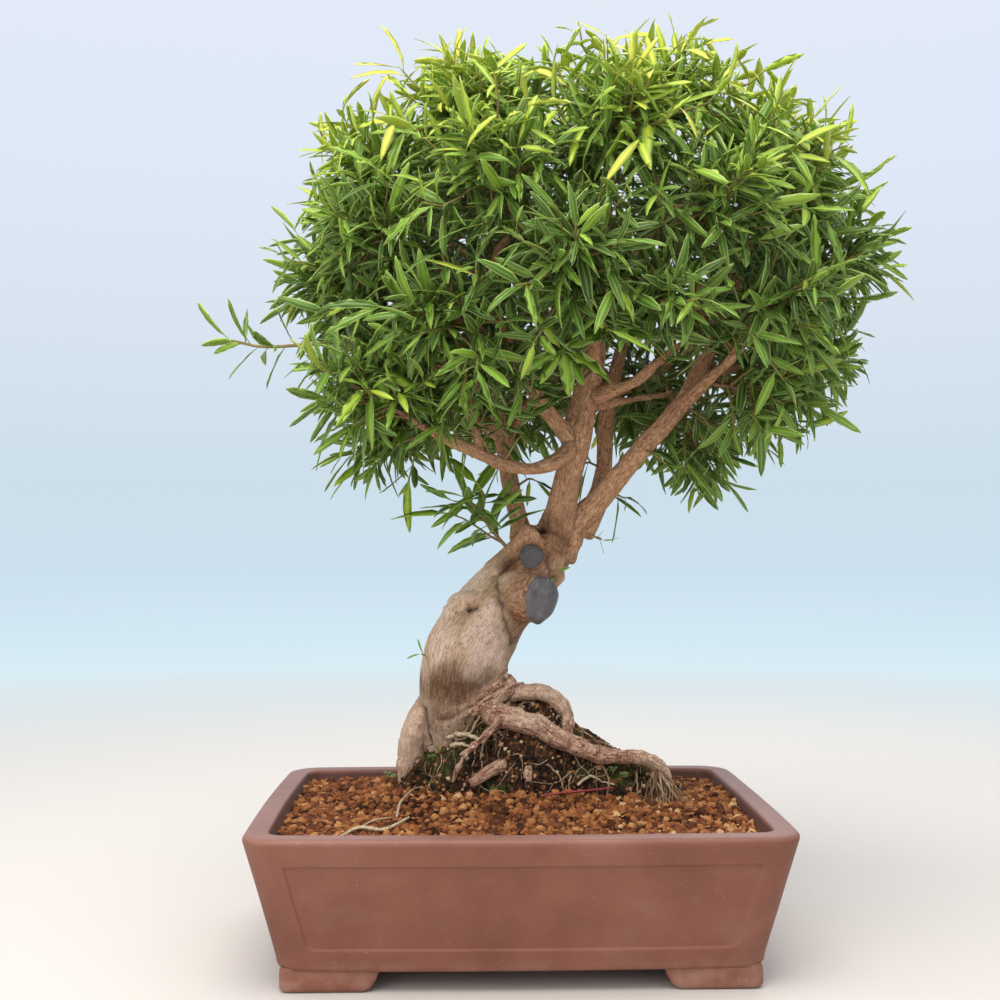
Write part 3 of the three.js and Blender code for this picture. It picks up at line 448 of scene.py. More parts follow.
class Finish(Nodes):
    """A material under construction."""

    def __init__(self, name):
        self.material = bpy.data.materials.new(name)
        self.material.use_nodes = True
        super().__init__(self.material.node_tree)
        self.coords = self.node("ShaderNodeTexCoord", out="Object")

    def stretched(self, scale, source=None):
        return self.node("ShaderNodeMapping", {"Vector": source or self.coords, "Scale": scale})

    def noise(self, scale, detail=4.0, roughness=0.55, source=None, distortion=0.0):
        return self.node("ShaderNodeTexNoise", {
            "Vector": source or self.coords, "Scale": scale, "Detail": detail,
            "Roughness": roughness, "Distortion": distortion,
        })

    def cells(self, scale, feature="F1"):
        return self.node("ShaderNodeTexVoronoi", {"Vector": self.coords, "Scale": scale}, feature=feature)

    def attribute(self, name, output="Fac"):
        return self.node("ShaderNodeAttribute", out=output, attribute_name=name)

    def math(self, operation, a, b=0.0):
        return self.node("ShaderNodeMath", {0: a, 1: b}, operation=operation)

    def mix(self, share, a, b):
        return self.node("ShaderNodeMix", {0: share, 6: a, 7: b}, 2, data_type="RGBA")

    def over(self, base, tint, share, *more):
        """A tint laid over a base as strongly as all the shares multiplied."""
        for other in more:
            share = self.math("MULTIPLY", share, other)
        return self.mix(share, base, colour(tint) if isinstance(tint, str) else tint)

    def bump(self, height, distance, strength=1.0, normal=None):
        inputs = {"Height": height, "Distance": distance * MM, "Strength": strength}
        return self.node("ShaderNodeBump", {**inputs, "Normal": normal} if normal else inputs)

    def surface(self, base, rough, normal=None, specular=None, **more):
        inputs = {"Base Color": base, "Roughness": rough, "Normal": normal, "Specular IOR Level": specular}
        inputs.update((name.replace("_", " "), value) for name, value in more.items())
        inputs = {name: value for name, value in inputs.items() if value is not None}
        return self.node("ShaderNodeBsdfPrincipled", inputs)

    def shared(self, share, first, second):
        return self.node("ShaderNodeMixShader", {0: share, 1: first, 2: second})

    def done(self, shader):
        self.node("ShaderNodeOutputMaterial", {"Surface": shader}, None)
        return self.material


# Materials


def stoneware_finish():
    """Unglazed red-brown clay with fine pale grit, lime bloom near the feet, a darker inside that is painted
    shade and damp clay, and a painted reflection on the rim top.
    """
    f = Finish("stoneware")
    mottle = f.noise(14, 6)
    base = f.ramp(mottle, 0.3, "764737", 0.55, "855342", 0.75, "8d5c4a")
    bloom = f.between(f.noise(9, 8, 0.65, f.stretched((1, 1, 1.6))), 0.56, 0.8)
    base = f.over(base, "a88474", bloom, 0.25)
    height = f.axis(f.coords, "Z")
    # Painted reflection: the top of the rim is tinted grey, as the pale room would look in it, and is also
    # made glossier.
    rim = f.between(height, 0.1035, 0.1068)
    base = f.over(base, "886a62", rim, 0.35)
    base = f.over(base, "b28c78", f.between(height, 0.024, 0.0), f.between(f.noise(60, 5), 0.38, 0.66), 0.6)
    # Inner faces look towards the middle of the tray.
    out = f.node("ShaderNodeVectorMath", {0: f.coords, 1: tuple(TRAY_MIDDLE)}, operation="SUBTRACT")
    out = f.node("ShaderNodeVectorMath", {0: out, 1: (1, 1, 0)}, operation="MULTIPLY")
    facing = {0: out, 1: f.node("ShaderNodeNewGeometry", out="Normal")}
    facing = f.node("ShaderNodeVectorMath", facing, "Value", operation="DOT_PRODUCT")
    # Painted shade, partly damp clay: faces inside the wall, below the rim, are darkened.
    inside = f.between(facing, -0.02, -0.06), f.between(height, 0.1055, 0.1035)
    base = f.over(base, "4a2a20", *inside, 0.85)
    grit = f.between(f.cells(420), 0.16, 0.05), f.between(f.noise(150, 2), 0.56, 0.62)
    base = f.over(base, "d6baa6", *grit, 0.55)
    scuff = f.between(f.noise(30, 9, 0.7, f.stretched((1, 1, 3))), 0.66, 0.72)
    base = f.over(base, "b89c8e", scuff, 0.28)
    normal = f.bump(f.noise(900, 3), 0.12, 0.7, f.bump(f.noise(45, 4), 0.5, 0.5))
    rough = f.math("SUBTRACT", f.between(mottle, 0.3, 0.7, 0.66, 0.55), f.math("MULTIPLY", rim, 0.17))
    return f.done(f.surface(base, rough, normal, 0.35))


def mesh_plastic_finish():
    f = Finish("mesh_plastic")
    tint = f.ramp(f.noise(200), 0.3, "1e2420", 0.7, "343a32")
    return f.done(f.surface(tint, 0.55, f.bump(f.noise(900), 0.1)))


def bed_finish():
    """What shows between the grains: finer grains and dust in shadow."""
    f = Finish("grain_bed")
    lumps = f.cells(330)
    tint = f.ramp(lumps, 0.0, "4c2c1b", 0.5, "301b11", 0.9, "180e0a")
    return f.done(f.surface(tint, 1.0, f.bump(lumps, -1.6), 0.03))


def grains_finish():
    """Fired clay grains: most rust brown, some ochre, a few pale tan, each with a dusty rough face."""
    f = Finish("clay_grains")
    # Painted light on top of a random drift in tone: the grains get lighter towards the right, where more
    # light falls.
    tone_drift_and_painted_light = f.math("ADD", f.between(f.noise(11, 2), 0.35, 0.65, -0.1, 0.08),
                   f.between(f.axis(f.coords, "X"), -0.2, 0.12, -0.1, 0.07))
    base = f.ramp(
        f.math("ADD", f.attribute("tint"), tone_drift_and_painted_light), 0.0, "422416", 0.25, "6c3d23", 0.5, "8c532e",
        0.78, "a46a3c", 0.93, "bc8654", 1.0, "d4ac7a",
    )
    base = f.over(base, "502e1e", f.between(f.noise(520, 4), 0.4, 0.75, 0, 0.45))
    base = f.over(base, "cc9a68", f.between(f.noise(260, 3), 0.58, 0.75, 0, 0.25))
    return f.done(f.surface(base, 0.95, f.bump(f.noise(700, 5, 0.65), 0.6), 0.2))


def crumbs_finish():
    """Crumbs of the old root ball: humus, broken grains and bits of bark."""
    f = Finish("soil_crumbs")
    base = f.ramp(
        f.attribute("tint"), 0.0, "18110d", 0.36, "3e2a1d", 0.6, "6e482c", 0.8, "925c36",
        0.92, "b88c62", 1.0, "d2b894",
    )
    base = f.over(base, "1e140e", f.between(f.noise(600, 4), 0.4, 0.7, 0, 0.5))
    return f.done(f.surface(base, 0.97, f.bump(f.noise(900, 4), 0.5), 0.15))


def moss_finish():
    f = Finish("moss")
    base = f.ramp(f.attribute("tint"), 0.0, "242414", 0.6, "4a5226", 1.0, "8a804e")
    return f.done(f.surface(base, 0.9, None, 0.2))


def rootlet_finish():
    """Fine roots: tan and greyish where dry, reddish where young."""
    f = Finish("fine_roots")
    base = f.ramp(f.attribute("young"), 0.0, "5c3e2e", 0.4, "927056", 0.75, "ba9e7e",
                  1.0, "d4c4a2")
    base = f.over(base, "60422e", f.between(f.noise(420, 5), 0.4, 0.68, 0, 0.6))
    return f.done(f.surface(base, 0.9, f.bump(f.noise(700, 4), 0.4), 0.2))


def red_stalk_finish():
    f = Finish("red_stalk")
    return f.done(f.surface(f.ramp(f.noise(300, 4), 0.3, "702224", 0.7, "b04842"), 0.5))


def dark_soil_finish():
    """Old soil full of humus, with brown crumbs and a thin film of moss where it stays damp."""
    f = Finish("dark_soil")
    lumps = f.noise(170, 7, 0.7)
    base = f.ramp(lumps, 0.3, "140f0c", 0.47, "2e2219", 0.6, "4e3624", 0.72, "765436")
    green = f.ramp(f.noise(500), 0.35, "2c2e16", 0.7, "5c602e")
    base = f.over(base, green, f.attribute("moss"), f.between(f.noise(240, 5), 0.35, 0.6))
    return f.done(f.surface(base, 0.97, f.bump(f.noise(800, 4), 0.6, 1.0, f.bump(lumps, 3.0)), 0.2))


def bark_finish():
    """Smooth pale bark on the trunk, cracked pink-tan bark on the roots, brown bark on the limbs."""
    f = Finish("bark")
    grain = f.attribute("grain", "Vector")

    def streaks(detail, roughness, across, along, distortion=0.0):
        return f.noise(1, detail, roughness, f.stretched((across, across, along), grain), distortion)

    rooty, limby = f.attribute("rooty"), f.attribute("limby")
    fibres = streaks(6, 0.64, 1.15, 0.13, 0.9)
    pale = f.ramp(streaks(4, 0.55, 0.05, 0.03), 0.32, "c09a78", 0.5, "daba9c",
                  0.62, "e8cab4", 0.75, "dab8a0")
    pale = f.over(pale, "92684c", f.between(fibres, 0.46, 0.37, 0, 0.75))
    pale = f.over(pale, "f6e0ca", f.between(fibres, 0.52, 0.62, 0, 0.7))
    wrinkle = streaks(5, 0.62, 0.22, 0.42, 1.2)
    pale = f.over(pale, "846048", f.between(wrinkle, 0.43, 0.36, 0, 0.45))
    pale = f.over(pale, "7e764c", f.attribute("damp"), f.between(f.noise(90, 4), 0.4, 0.62), 0.5)
    cracks = f.math("MINIMUM", streaks(7, 0.7, 0.42, 0.1, 1.0),
                    f.math("ADD", streaks(5, 0.66, 0.12, 0.5, 1.8), 0.03))
    cracked = f.ramp(cracks, 0.35, "42221a", 0.42, "885846", 0.49, "c69a7e",
                     0.57, "e8c8ac", 0.7, "f6e2cc")
    cracked = f.over(cracked, "925c4a", f.between(streaks(3, 0.5, 0.07, 0.05), 0.5, 0.7, 0, 0.4))
    fleck = streaks(7, 0.7, 0.6, 0.2, 1.0)
    brown = f.ramp(fleck, 0.34, "744c34", 0.44, "c68e68", 0.55, "eab68c",
                   0.7, "fcdcb8")
    brown = f.over(brown, "74503a", f.between(streaks(3, 0.6, 0.02, 0.6, 0.4), 0.42, 0.34, 0, 0.28))
    brown = f.over(brown, "96765e", f.between(f.noise(26, 4), 0.42, 0.66, 0, 0.3))
    # Painted light: the root bark is lightened in patches where the roots should catch more light.
    cracked = f.over(cracked, f.over(cracked, "fadec0", 0.5), f.attribute("painted_root_light"))
    base = f.mix(limby, f.mix(rooty, pale, cracked), brown)
    # Darker brown, partly the bark's own brown and partly painted shade under the bulge, at the foot of the
    # trunk, at the neck and on the right stem.
    brown_and_painted_shade = f.ramp(fibres, 0.36, "422818", 0.5, "6e482e", 0.64, "a0724e")
    brown_and_painted_shade = f.over(brown_and_painted_shade, "382216", f.between(streaks(4, 0.6, 0.16, 0.75, 1.2), 0.52, 0.42, 0, 0.6))
    base = f.over(base, brown_and_painted_shade, f.attribute("shade"))
    scab = f.ramp(f.noise(300, 6, 0.65), 0.35, "68422a", 0.5, "a47452", 0.64, "c69c76",
                  0.8, "dab894")
    base = f.over(base, scab, f.attribute("callus"))
    pits = f.between(f.cells(230), 0.17, 0.06), f.between(f.noise(55), 0.46, 0.6)
    # Painted shade in the furrows and hollows, laid over the bark's own dark pits.
    base = f.over(f.over(base, "462e21", *pits, 0.75), "3a251a", f.attribute("painted_hollow_shade"))
    height = f.mix(limby, f.mix(rooty, f.mix(0.5, fibres, wrinkle), cracks), fleck)
    normal = f.bump(f.noise(700, 4, 0.6), 0.35, 0.8, f.bump(height, 2.8, 1.0))
    return f.done(f.surface(base, 0.85, normal, 0.25))


def paste_finish():
    """Dark grey wound paste, dabbed on: matt, with brighter smears and fine cracks."""
    f = Finish("cut_paste")
    smear = f.noise(130, 6)
    tint = f.ramp(smear, 0.3, "544f51", 0.55, "6e6869", 0.75, "868080")
    crack = f.between(f.cells(140, "DISTANCE_TO_EDGE"), 0.03, 0.0), f.between(f.noise(80), 0.52, 0.6)
    # Dabs marked by this attribute are darkened all over.
    tint = f.over(f.over(tint, "222022", *crack), "2e2420", f.attribute("darker_dab"))
    return f.done(f.surface(tint, 0.62, f.bump(f.noise(900), 0.15, 1, f.bump(smear, 2.6))))


def leaf_finish():
    """A willow-like leaf: waxy above, paler below, with a light midrib and a light rim that is partly a pale
    margin and partly painted highlight.
    """
    f = Finish("leaf_green")
    base = f.ramp(f.attribute("tone"), 0.0, "223c16", 0.2, "527e26", 0.44, "92bc30",
                  0.7, "dcee42", 1.0, "f4e858")
    base = f.over(base, f.over(base, "34541e", 0.5), f.between(f.noise(120, 3), 0.3, 0.7, 0.0, 0.3))
    base = f.over(base, "8ea264", f.attribute("under"), 0.5)
    away = f.math("ABSOLUTE", f.attribute("across"))
    base = f.over(base, "b6ce68", f.between(away, 0.14, 0.03), 0.5)
    # The light rim: partly the leaf's pale margin, partly a painted highlight along its edge.
    base = f.over(base, "d6ea86", f.between(away, 0.7, 0.8), 0.8)
    body = f.surface(base, 0.4, None, 0.45, Coat_Weight=0.05, Coat_Roughness=0.3)
    glow = f.node("ShaderNodeBsdfTranslucent", {"Color": f.over(base, "badc32", 0.55)})
    return f.done(f.shared(0.24, body, glow))


def twig_finish():
    """Leafy shoots: brown where they are woody, green-yellow at their tips."""
    f = Finish("twig")
    wood = f.ramp(f.noise(300, 5), 0.3, "684832", 0.7, "a07858")
    fresh = f.ramp(f.noise(260), 0.3, "80823a", 0.7, "aaa854")
    return f.done(f.surface(f.over(wood, fresh, f.attribute("young")), 0.7, f.bump(f.noise(600), 0.3)))


# Geometry node trees


class Growth(Nodes):
    """A geometry tree under construction, with named inputs."""

    def __init__(self, name, **sizes):
        tree = bpy.data.node_groups.new(name, "GeometryNodeTree")
        super().__init__(tree)
        tree.interface.new_socket("Geometry", in_out="INPUT", socket_type="NodeSocketGeometry")
        for label, value in sizes.items():
            kind = value if isinstance(value, str) else "Int" if isinstance(value, int) else "Float"
            socket = tree.interface.new_socket(label, in_out="INPUT", socket_type="NodeSocket" + kind)
            if kind != value:
                socket.default_value = value
        tree.interface.new_socket("Geometry", in_out="OUTPUT", socket_type="NodeSocketGeometry")
        self.given = tree.nodes.new("NodeGroupInput").outputs

    def named(self, name, kind="FLOAT"):
        return self.node("GeometryNodeInputNamedAttribute", {"Name": name}, "Attribute", data_type=kind)

    def pieces(self, collection):
        return self.node("GeometryNodeCollectionInfo", {
            "Collection": collection, "Separate Children": True, "Reset Children": True,
        })

    def coated(self, geometry, finish):
        return self.node("GeometryNodeSetMaterial", {"Geometry": geometry, "Material": finish})

    def random(self, seed, limits=None, out=1):
        """A random number, or with out=0 a random vector."""
        kind = "FLOAT" if out else "FLOAT_VECTOR"
        return self.node("FunctionNodeRandomValue", {"Seed": seed, **(limits or {})}, out, data_type=kind)


def grow(made, tree, **values):
    """Runs a tree on an object, with its inputs set by name, and keeps the result as a plain mesh."""
    modifier = made.modifiers.new(tree.name, "NODES")
    modifier.node_group = tree
    for item in tree.interface.items_tree:
        if item.in_out == "INPUT" and item.name in values:
            modifier[item.identifier] = values[item.name]
    return settled(made)


def shoots_tree():
    """Leaves on loose points, round twigs along edges."""
    g = Growth("leafy shoots", Shapes="Collection", Leaf="Material", Twig="Material", Sides=4)
    parts = {"Geometry": g.given["Geometry"], "Selection": g.named("is_leaf", "BOOLEAN")}
    parts = g.node("GeometryNodeSeparateGeometry", parts, None, domain="POINT").outputs
    turn = g.node("FunctionNodeAxesToRotation", {
        "Primary Axis": g.named("leaf_along", "FLOAT_VECTOR"),
        "Secondary Axis": g.named("leaf_up", "FLOAT_VECTOR"),
    }, primary_axis="X", secondary_axis="Z")
    leaves = g.node("GeometryNodeInstanceOnPoints", {
        "Points": g.node("GeometryNodeMeshToPoints", {"Mesh": parts["Selection"]}),
        "Instance": g.pieces(g.given["Shapes"]), "Pick Instance": True,
        "Instance Index": g.named("leaf_shape", "INT"), "Rotation": turn, "Scale": g.named("leaf_size"),
    })
    leaves = g.coated(g.node("GeometryNodeRealizeInstances", {"Geometry": leaves}), g.given["Leaf"])
    circle = {"Resolution": g.given["Sides"], "Radius": 1.0}
    tubes = g.node("GeometryNodeCurveToMesh", {
        "Curve": g.node("GeometryNodeMeshToCurve", {"Mesh": parts["Inverted"]}),
        "Profile Curve": g.node("GeometryNodeCurvePrimitiveCircle", circle),
        "Scale": g.named("twig_radius"), "Fill Caps": True,
    })
    tubes = g.coated(g.node("GeometryNodeSetShadeSmooth", {"Geometry": tubes}), g.given["Twig"])
    both = g.node("GeometryNodeJoinGeometry", {"Geometry": leaves}, None)
    g.tree.links.new(tubes, both.inputs["Geometry"])
    g.node("NodeGroupOutput", {"Geometry": both.outputs["Geometry"]}, None)
    return g.tree


def scatter_tree():
    """Pieces strewn over a surface, each with a random turn, size and tint."""
    g = Growth("strewn pieces", Pieces="Collection", Finish="Material", Spacing=0.004, Density=100000.0,
               Smallest=0.8, Largest=1.2, Sink=0.0, Tilt=3.14, Seed=1)
    given = g.given
    spots = g.node("GeometryNodeDistributePointsOnFaces", {
        "Mesh": given["Geometry"], "Distance Min": given["Spacing"], "Density Max": given["Density"],
        "Seed": given["Seed"], "Density Factor": g.named("share"),
    }, None, distribute_method="POISSON").outputs
    limit = g.node("ShaderNodeCombineXYZ", {"X": given["Tilt"], "Y": given["Tilt"], "Z": 6.283})
    turned = g.node("FunctionNodeRotateRotation", {
        "Rotation": spots["Rotation"], "Rotate By": g.random(3, {1: limit}, 0),
    }, rotation_space="LOCAL")
    placed = g.node("GeometryNodeInstanceOnPoints", {
        "Points": spots["Points"], "Instance": g.pieces(given["Pieces"]), "Pick Instance": True,
        "Rotation": turned, "Scale": g.random(0, {2: given["Smallest"], 3: given["Largest"]}),
    })
    drop = g.node("ShaderNodeCombineXYZ", {"Z": g.random(7, {2: given["Sink"], 3: 0.0})})
    sunk = {"Instances": placed, "Local Space": False, "Translation": drop}
    sunk = g.node("GeometryNodeTranslateInstances", sunk)
    marked = g.node("GeometryNodeStoreNamedAttribute", {
        "Geometry": sunk, "Name": "tint", "Value": g.random(11),
    }, data_type="FLOAT", domain="INSTANCE")
    real = g.node("GeometryNodeRealizeInstances", {"Geometry": marked})
    g.node("NodeGroupOutput", {"Geometry": g.coated(real, given["Finish"])}, None)
    return g.tree


def shape_collection(name, makers):
    """A hidden collection of small shapes that the trees strew about. It is removed at the end."""
    collection = bpy.data.collections.new(name)
    for number, (points, faces, marks) in enumerate(makers):
        mesh = bpy.data.meshes.new(name)
        mesh.from_pydata([tuple(p) for p in points], [], faces)
        if marks:
            mesh.shade_smooth()
        made = bpy.data.objects.new(f"{name}_{number:02d}", mesh)
        for label, values in marks.items():
            add_attribute(made, label, values)
        collection.objects.link(made)
    return collection


def forget(collection):
    for made in list(collection.objects):
        bpy.data.objects.remove(made)
    bpy.data.collections.remove(collection)


# Tray


def wall_inset(z):
    return WALL_LEAN * (HEIGHT - z) / (HEIGHT - FOOT_HEIGHT)


def half_sizes(inset):
    return LENGTH / 2 - inset - BOW_SHORT, DEPTH / 2 - inset - BOW_LONG


def side_stations(half, radius):
    """Places along half a side, from the corner's arc to the middle, close where the panel's edge runs."""
    edge = half - PANEL_MARGIN
    near = [edge + d for d in (1.9, 1.3, 0.8, 0.35, -0.1, -0.6, -1.2, -2)]
    return [half - radius, *near, *np.linspace(edge - 5, 0, 20)]


def tray_ring(inset, z, radius, panelled):
    """The tray's outline at a height: a rounded rectangle with bowed sides and sunk panels."""
    half_x, half_y = half_sizes(inset)
    arc = [math.pi / 2 * s / 10 for s in range(1, 10)]
    quarter = [(half_x, y) for y in reversed(side_stations(half_y, radius))]
    quarter += [(half_x - radius + radius * math.cos(a), half_y - radius + radius * math.sin(a)) for a in arc]
    quarter += [(x, half_y) for x in side_stations(half_x, radius)]
    ring = []
    for sign_x, sign_y in ((1, 1), (-1, 1), (-1, -1), (1, -1)):
        part = [(sign_x * x, sign_y * y) for x, y in quarter]
        ring += (part if sign_x * sign_y > 0 else part[::-1])[:-1]
    x, y = np.array(ring).T
    bowed_x = x * (1 + BOW_SHORT * (1 - (y / half_y) ** 2) / half_x)
    bowed_y = y * (1 + BOW_LONG * (1 - (x / half_x) ** 2) / half_y)
    if panelled:
        bowed_y = bowed_y - np.sign(y) * PANEL_DEPTH * panel_sink(x, half_x, y, half_y, z)
        bowed_x = bowed_x - np.sign(x) * PANEL_DEPTH * panel_sink(y, half_y, x, half_x, z)
    return np.stack([bowed_x, bowed_y, np.full(len(x), float(z))], 1)


def panel_sink(along, half, across, across_half, z):
    """Where a sunk panel lies: 1 in it, 0 outside it."""
    corner = 5.0
    side, level = half - PANEL_MARGIN - np.abs(along), z - PANEL_BOTTOM
    rounded = corner - np.hypot(corner - side, corner - level)
    near_corner = (side < corner) & (level < corner)
    inside = np.where(near_corner, rounded, np.minimum(side, min(PANEL_TOP - z, level)))
    return np.where(np.abs(np.abs(across) - across_half) < 1e-6, smooth_step(-0.9, 0.9, inside), 0)


def tray_wall():
    """Inset, height and corner radius of each ring, from the underside up the wall and down inside."""
    found = [(100.0, FOOT_HEIGHT, 6.0, False), (wall_inset(FOOT_HEIGHT) + 5, FOOT_HEIGHT, 16, False)]
    base = FOOT_HEIGHT + 4
    for a in (math.pi / 2 * s / 5 for s in range(1, 6)):
        found.append((wall_inset(base) + 5 - 5 * math.sin(a), base - 4 * math.cos(a), 17, False))
    heights = [21, 24, 27, 28.4, 29, 29.5, 30, 30.5, 31, 31.6, 33, 35, *np.linspace(39, 82, 12)]
    heights += [84, 86, 86.5, 87, 87.5, 88, 88.5, 89, 89.6, 91, 94, 97, 100, 102]
    found += [(wall_inset(z), z, 19 + (22 - 19) * (z - 18) / 84, True) for z in heights]
    edge = 4.2
    for a in (math.pi / 2 * s / 7 for s in range(1, 8)):
        inset = wall_inset(HEIGHT - edge) + edge * (1 - math.cos(a)) - 0.2 * math.sin(a)
        found.append((inset, HEIGHT - edge + edge * math.sin(a), CORNER_RADIUS, False))
    found += [(9, HEIGHT, 20, False), (14, HEIGHT, 16, False)]
    for a in (math.pi / 2 * s / 5 for s in range(6)):
        found.append((15.5 + 2 * math.sin(a), HEIGHT - 2 + 2 * math.cos(a), 12, False))
    for z in (100, 92, 70, 45):
        found.append((18 + (WALL_AT_FLOOR - 18) * ((HEIGHT - z) / (HEIGHT - 30)), z, 10, False))
    found += [(WALL_AT_FLOOR, 30, 10, False), (WALL_AT_FLOOR + 1.5, 26.5, 9, False)]
    return [*found, (WALL_AT_FLOOR + 5, FLOOR_TOP, 8, False), (100.0, FLOOR_TOP, 6, False)]


def make_tray(finish):
    points, faces = skin_over([tray_ring(*row) for row in tray_wall()])
    uneven = soft_noise(points, 60, 3) * 0.35 + soft_noise(points, 21, 4) * 0.12
    outward = points * [1, 1, 0]
    outward /= np.maximum(np.linalg.norm(outward, axis=1), 1)[:, None]
    above = (points[:, 2] > FOOT_HEIGHT + 1)[:, None]
    shell = closed_object("stoneware_tray", points - outward * above * (uneven + 0.4)[:, None], faces)
    for side in (-1, 1):
        middle = side * DRAIN_SPACING / 2
        around = np.arange(32) * math.pi / 16
        cutter = closed_object("drain_cutter", *skin_over([np.array([
            (middle + DRAIN_RADIUS * math.cos(a), DRAIN_RADIUS * math.sin(a), z) for a in around
        ]) for z in (5, 40)]), smooth=False)
        settled(modified(shell, "BOOLEAN", operation="DIFFERENCE", solver="EXACT", object=cutter))
        bpy.data.objects.remove(cutter)
    feet = closed_object("feet", *joined_parts([foot_part(x, y) for x in (-1, 1) for y in (-1, 1)]))
    joined = bmesh.new()
    joined.from_mesh(shell.data)
    joined.from_mesh(feet.data)
    joined.to_mesh(shell.data)
    joined.free()
    bpy.data.objects.remove(feet)
    shell.data.shade_smooth()
    shell.data.set_sharp_from_angle(angle=math.radians(50))
    keep(finished(shell, finish), "stoneware", "tray")


def rounded_corner(before, corner, after, radius, steps=4):
    """Points of an arc that takes a corner off an outline."""
    before, corner, after = (np.array(p, float) for p in (before, corner, after))
    start, end = corner + unit(before - corner) * radius, corner + unit(after - corner) * radius
    shares = [s / steps for s in range(steps + 1)]
    return [(1 - s) ** 2 * start + 2 * s * (1 - s) * corner + s * s * end for s in shares]


# Height, how far the foot draws in and how much shorter its legs are
FOOT_LEVELS = [
    (0, 3, 11), (0.5, 1.7, 9.6), (1.6, 0.7, 8), (3.2, 0.1, 6.2), (6, 0, 4.2), (10, 0, 2.2), (13.5, 0.2, 0.8),
    (16.5, 1, 0),
]


def foot_part(sign_x, sign_y):
    """One corner foot: two legs in an L whose ends and sides draw in towards the table."""
    rings = []
    for z, low, end_in in FOOT_LEVELS:
        x, y, thick = FOOT_X - end_in, FOOT_Y - end_in, FOOT_THICK - low
        corners = [(low, low), (x, low), (x, thick), (thick, thick), (thick, y), (low, y)]
        outline = []
        for k, radius in enumerate((7, 5, 5, 3, 5, 5)):
            outline += rounded_corner(corners[k - 1], corners[k], corners[(k + 1) % 6], radius)
        rings.append(np.array([(*p, z) for p in outline]))
    points, faces = skin_over(rings)
    inset = wall_inset(FOOT_HEIGHT)
    points = points - [LENGTH / 2 - inset - FOOT_OUTER, DEPTH / 2 - inset - FOOT_OUTER, 0]
    return points * [-sign_x, -sign_y, 1], faces


# Wood

# Marks on the trunk: x, y, z, radius, and depth or height
# Hollows are darkened towards their middle as painted shade.
HOLLOWS = [(22, 24, 317, 9, 5), (-50, 20, 150, 6, 2), (-9, 20, 284, 7, 1.8), (-3, 20, 287, 4, 1.4)]
SWELLINGS = [
    (-46, 14, 225, 42, 3.4), (46, 38, 300, 14, 3.5), (49, 38, 285, 10, 3), (40, 36, 272, 8, 3),
    (-37, 14, 253, 14, 2),
]
PINCHES = [
    (-42, 8, 180, 32, 5), (-6, 40, 204, 16, 3), (10, 2, 358, 26, 1.3), (-20, -14, 365, 24, 1.2),
    (91, 14, 425, 20, 1.4), (113, -2, 442, 18, 1.4), (95, 47, 416, 20, 1.2), (118, 54, 420, 14, 1),
]
# Furrows on the front: x and z along each, half its width, its depth and its darkness, which is painted shade
# in the furrow
FURROWS = [
    ([(-5, 285), (-14, 274), (-13, 259), (-9, 248), (-6.5, 236), (0, 221)], 5, 2.8, 0.9),
    ([(-38, 248.4), (-33.6, 249.3), (-30, 250.5)], 6, 4.2, 1.5),
    ([(-52, 241), (-40, 245.5)], 2.6, 1.0, 0.45),
    ([(-50, 235), (-38, 243)], 2.2, 0.8, 0.35),
    ([(-43, 262), (-36, 264), (-28, 262)], 3, 1.2, 0.35),
    ([(-52, 252), (-47, 246), (-38, 247)], 2.6, 1.1, 0.4),
    ([(-47, 240), (-36, 245)], 2.4, 1.0, 0.35),
    ([(-44, 235), (-34, 243)], 2.2, 0.8, 0.3),
    ([(-50, 246), (-40, 247.5)], 2.2, 0.8, 0.3),
    ([(-7.5, 196.5), (-6, 191), (-18, 187), (-30, 178), (-41, 170), (-48, 166), (-58, 163)], 4.6, 3.0, 0.85),
    ([(-58, 226), (-52, 214)], 1.6, 0.6, 0.2),
    ([(17.5, 319), (24.5, 309), (25, 297), (26.7, 284), (29, 272)], 4.4, 2.4, 0.7),
    ([(14, 319), (20, 314), (26, 310)], 7, 3.2, 1.2),
    ([(-9, 283), (-2, 286), (4, 290)], 7, 1.8, 0.9),
    ([(-32, 170), (-38, 160), (-50, 150)], 3.0, 1.6, 0.6),
    ([(-71, 171), (-69.5, 158), (-67, 144)], 4.2, 3.2, 1.3),
]
# Ridges on the front: x and z along each, half its width and its height
RIDGES = [
    ([(-51, 248), (-46, 255.5), (-38.7, 257.5), (-31.7, 256.5), (-26, 259)], 7.5, 4.6),
    ([(-43, 242), (-34, 242.5), (-27, 246)], 5, 1.8),
    ([(-22, 286), (-14, 296), (-2, 304)], 9, 2.2),
    ([(-22, 276), (-27, 266), (-24, 254)], 7, 1.2),
]
# Darker brown patches on the trunk, partly the bark's own brown and partly painted shade, then patches of
# painted light on the roots: x, z, half the width and height, strength
SHADES = [(-46, 188, 42, 20, 0.9), (-40, 166, 44, 30, 0.6), (-2, 285, 15, 9, 0.9), (36, 302, 13, 26, 0.6)]
PAINTED_ROOT_LIGHT = [(-80, 146, 22, 42, 1), (104, 130, 26, 14, 0.45), (22, 178, 34, 22, 0.6)]
VOXEL = 1.3


def limb_points():
    """Where the leafy branches spring from: places along the outer part of every limb."""
    found = []
    for name, points in LIMBS.items():
        line = SmoothLine(points)
        for t in (s / 20 for s in range(6, 21)):
            found.append((name, line.point(t), line.tangent(t), points[int(t * (len(points) - 1) + 0.5)][3]))
    return found


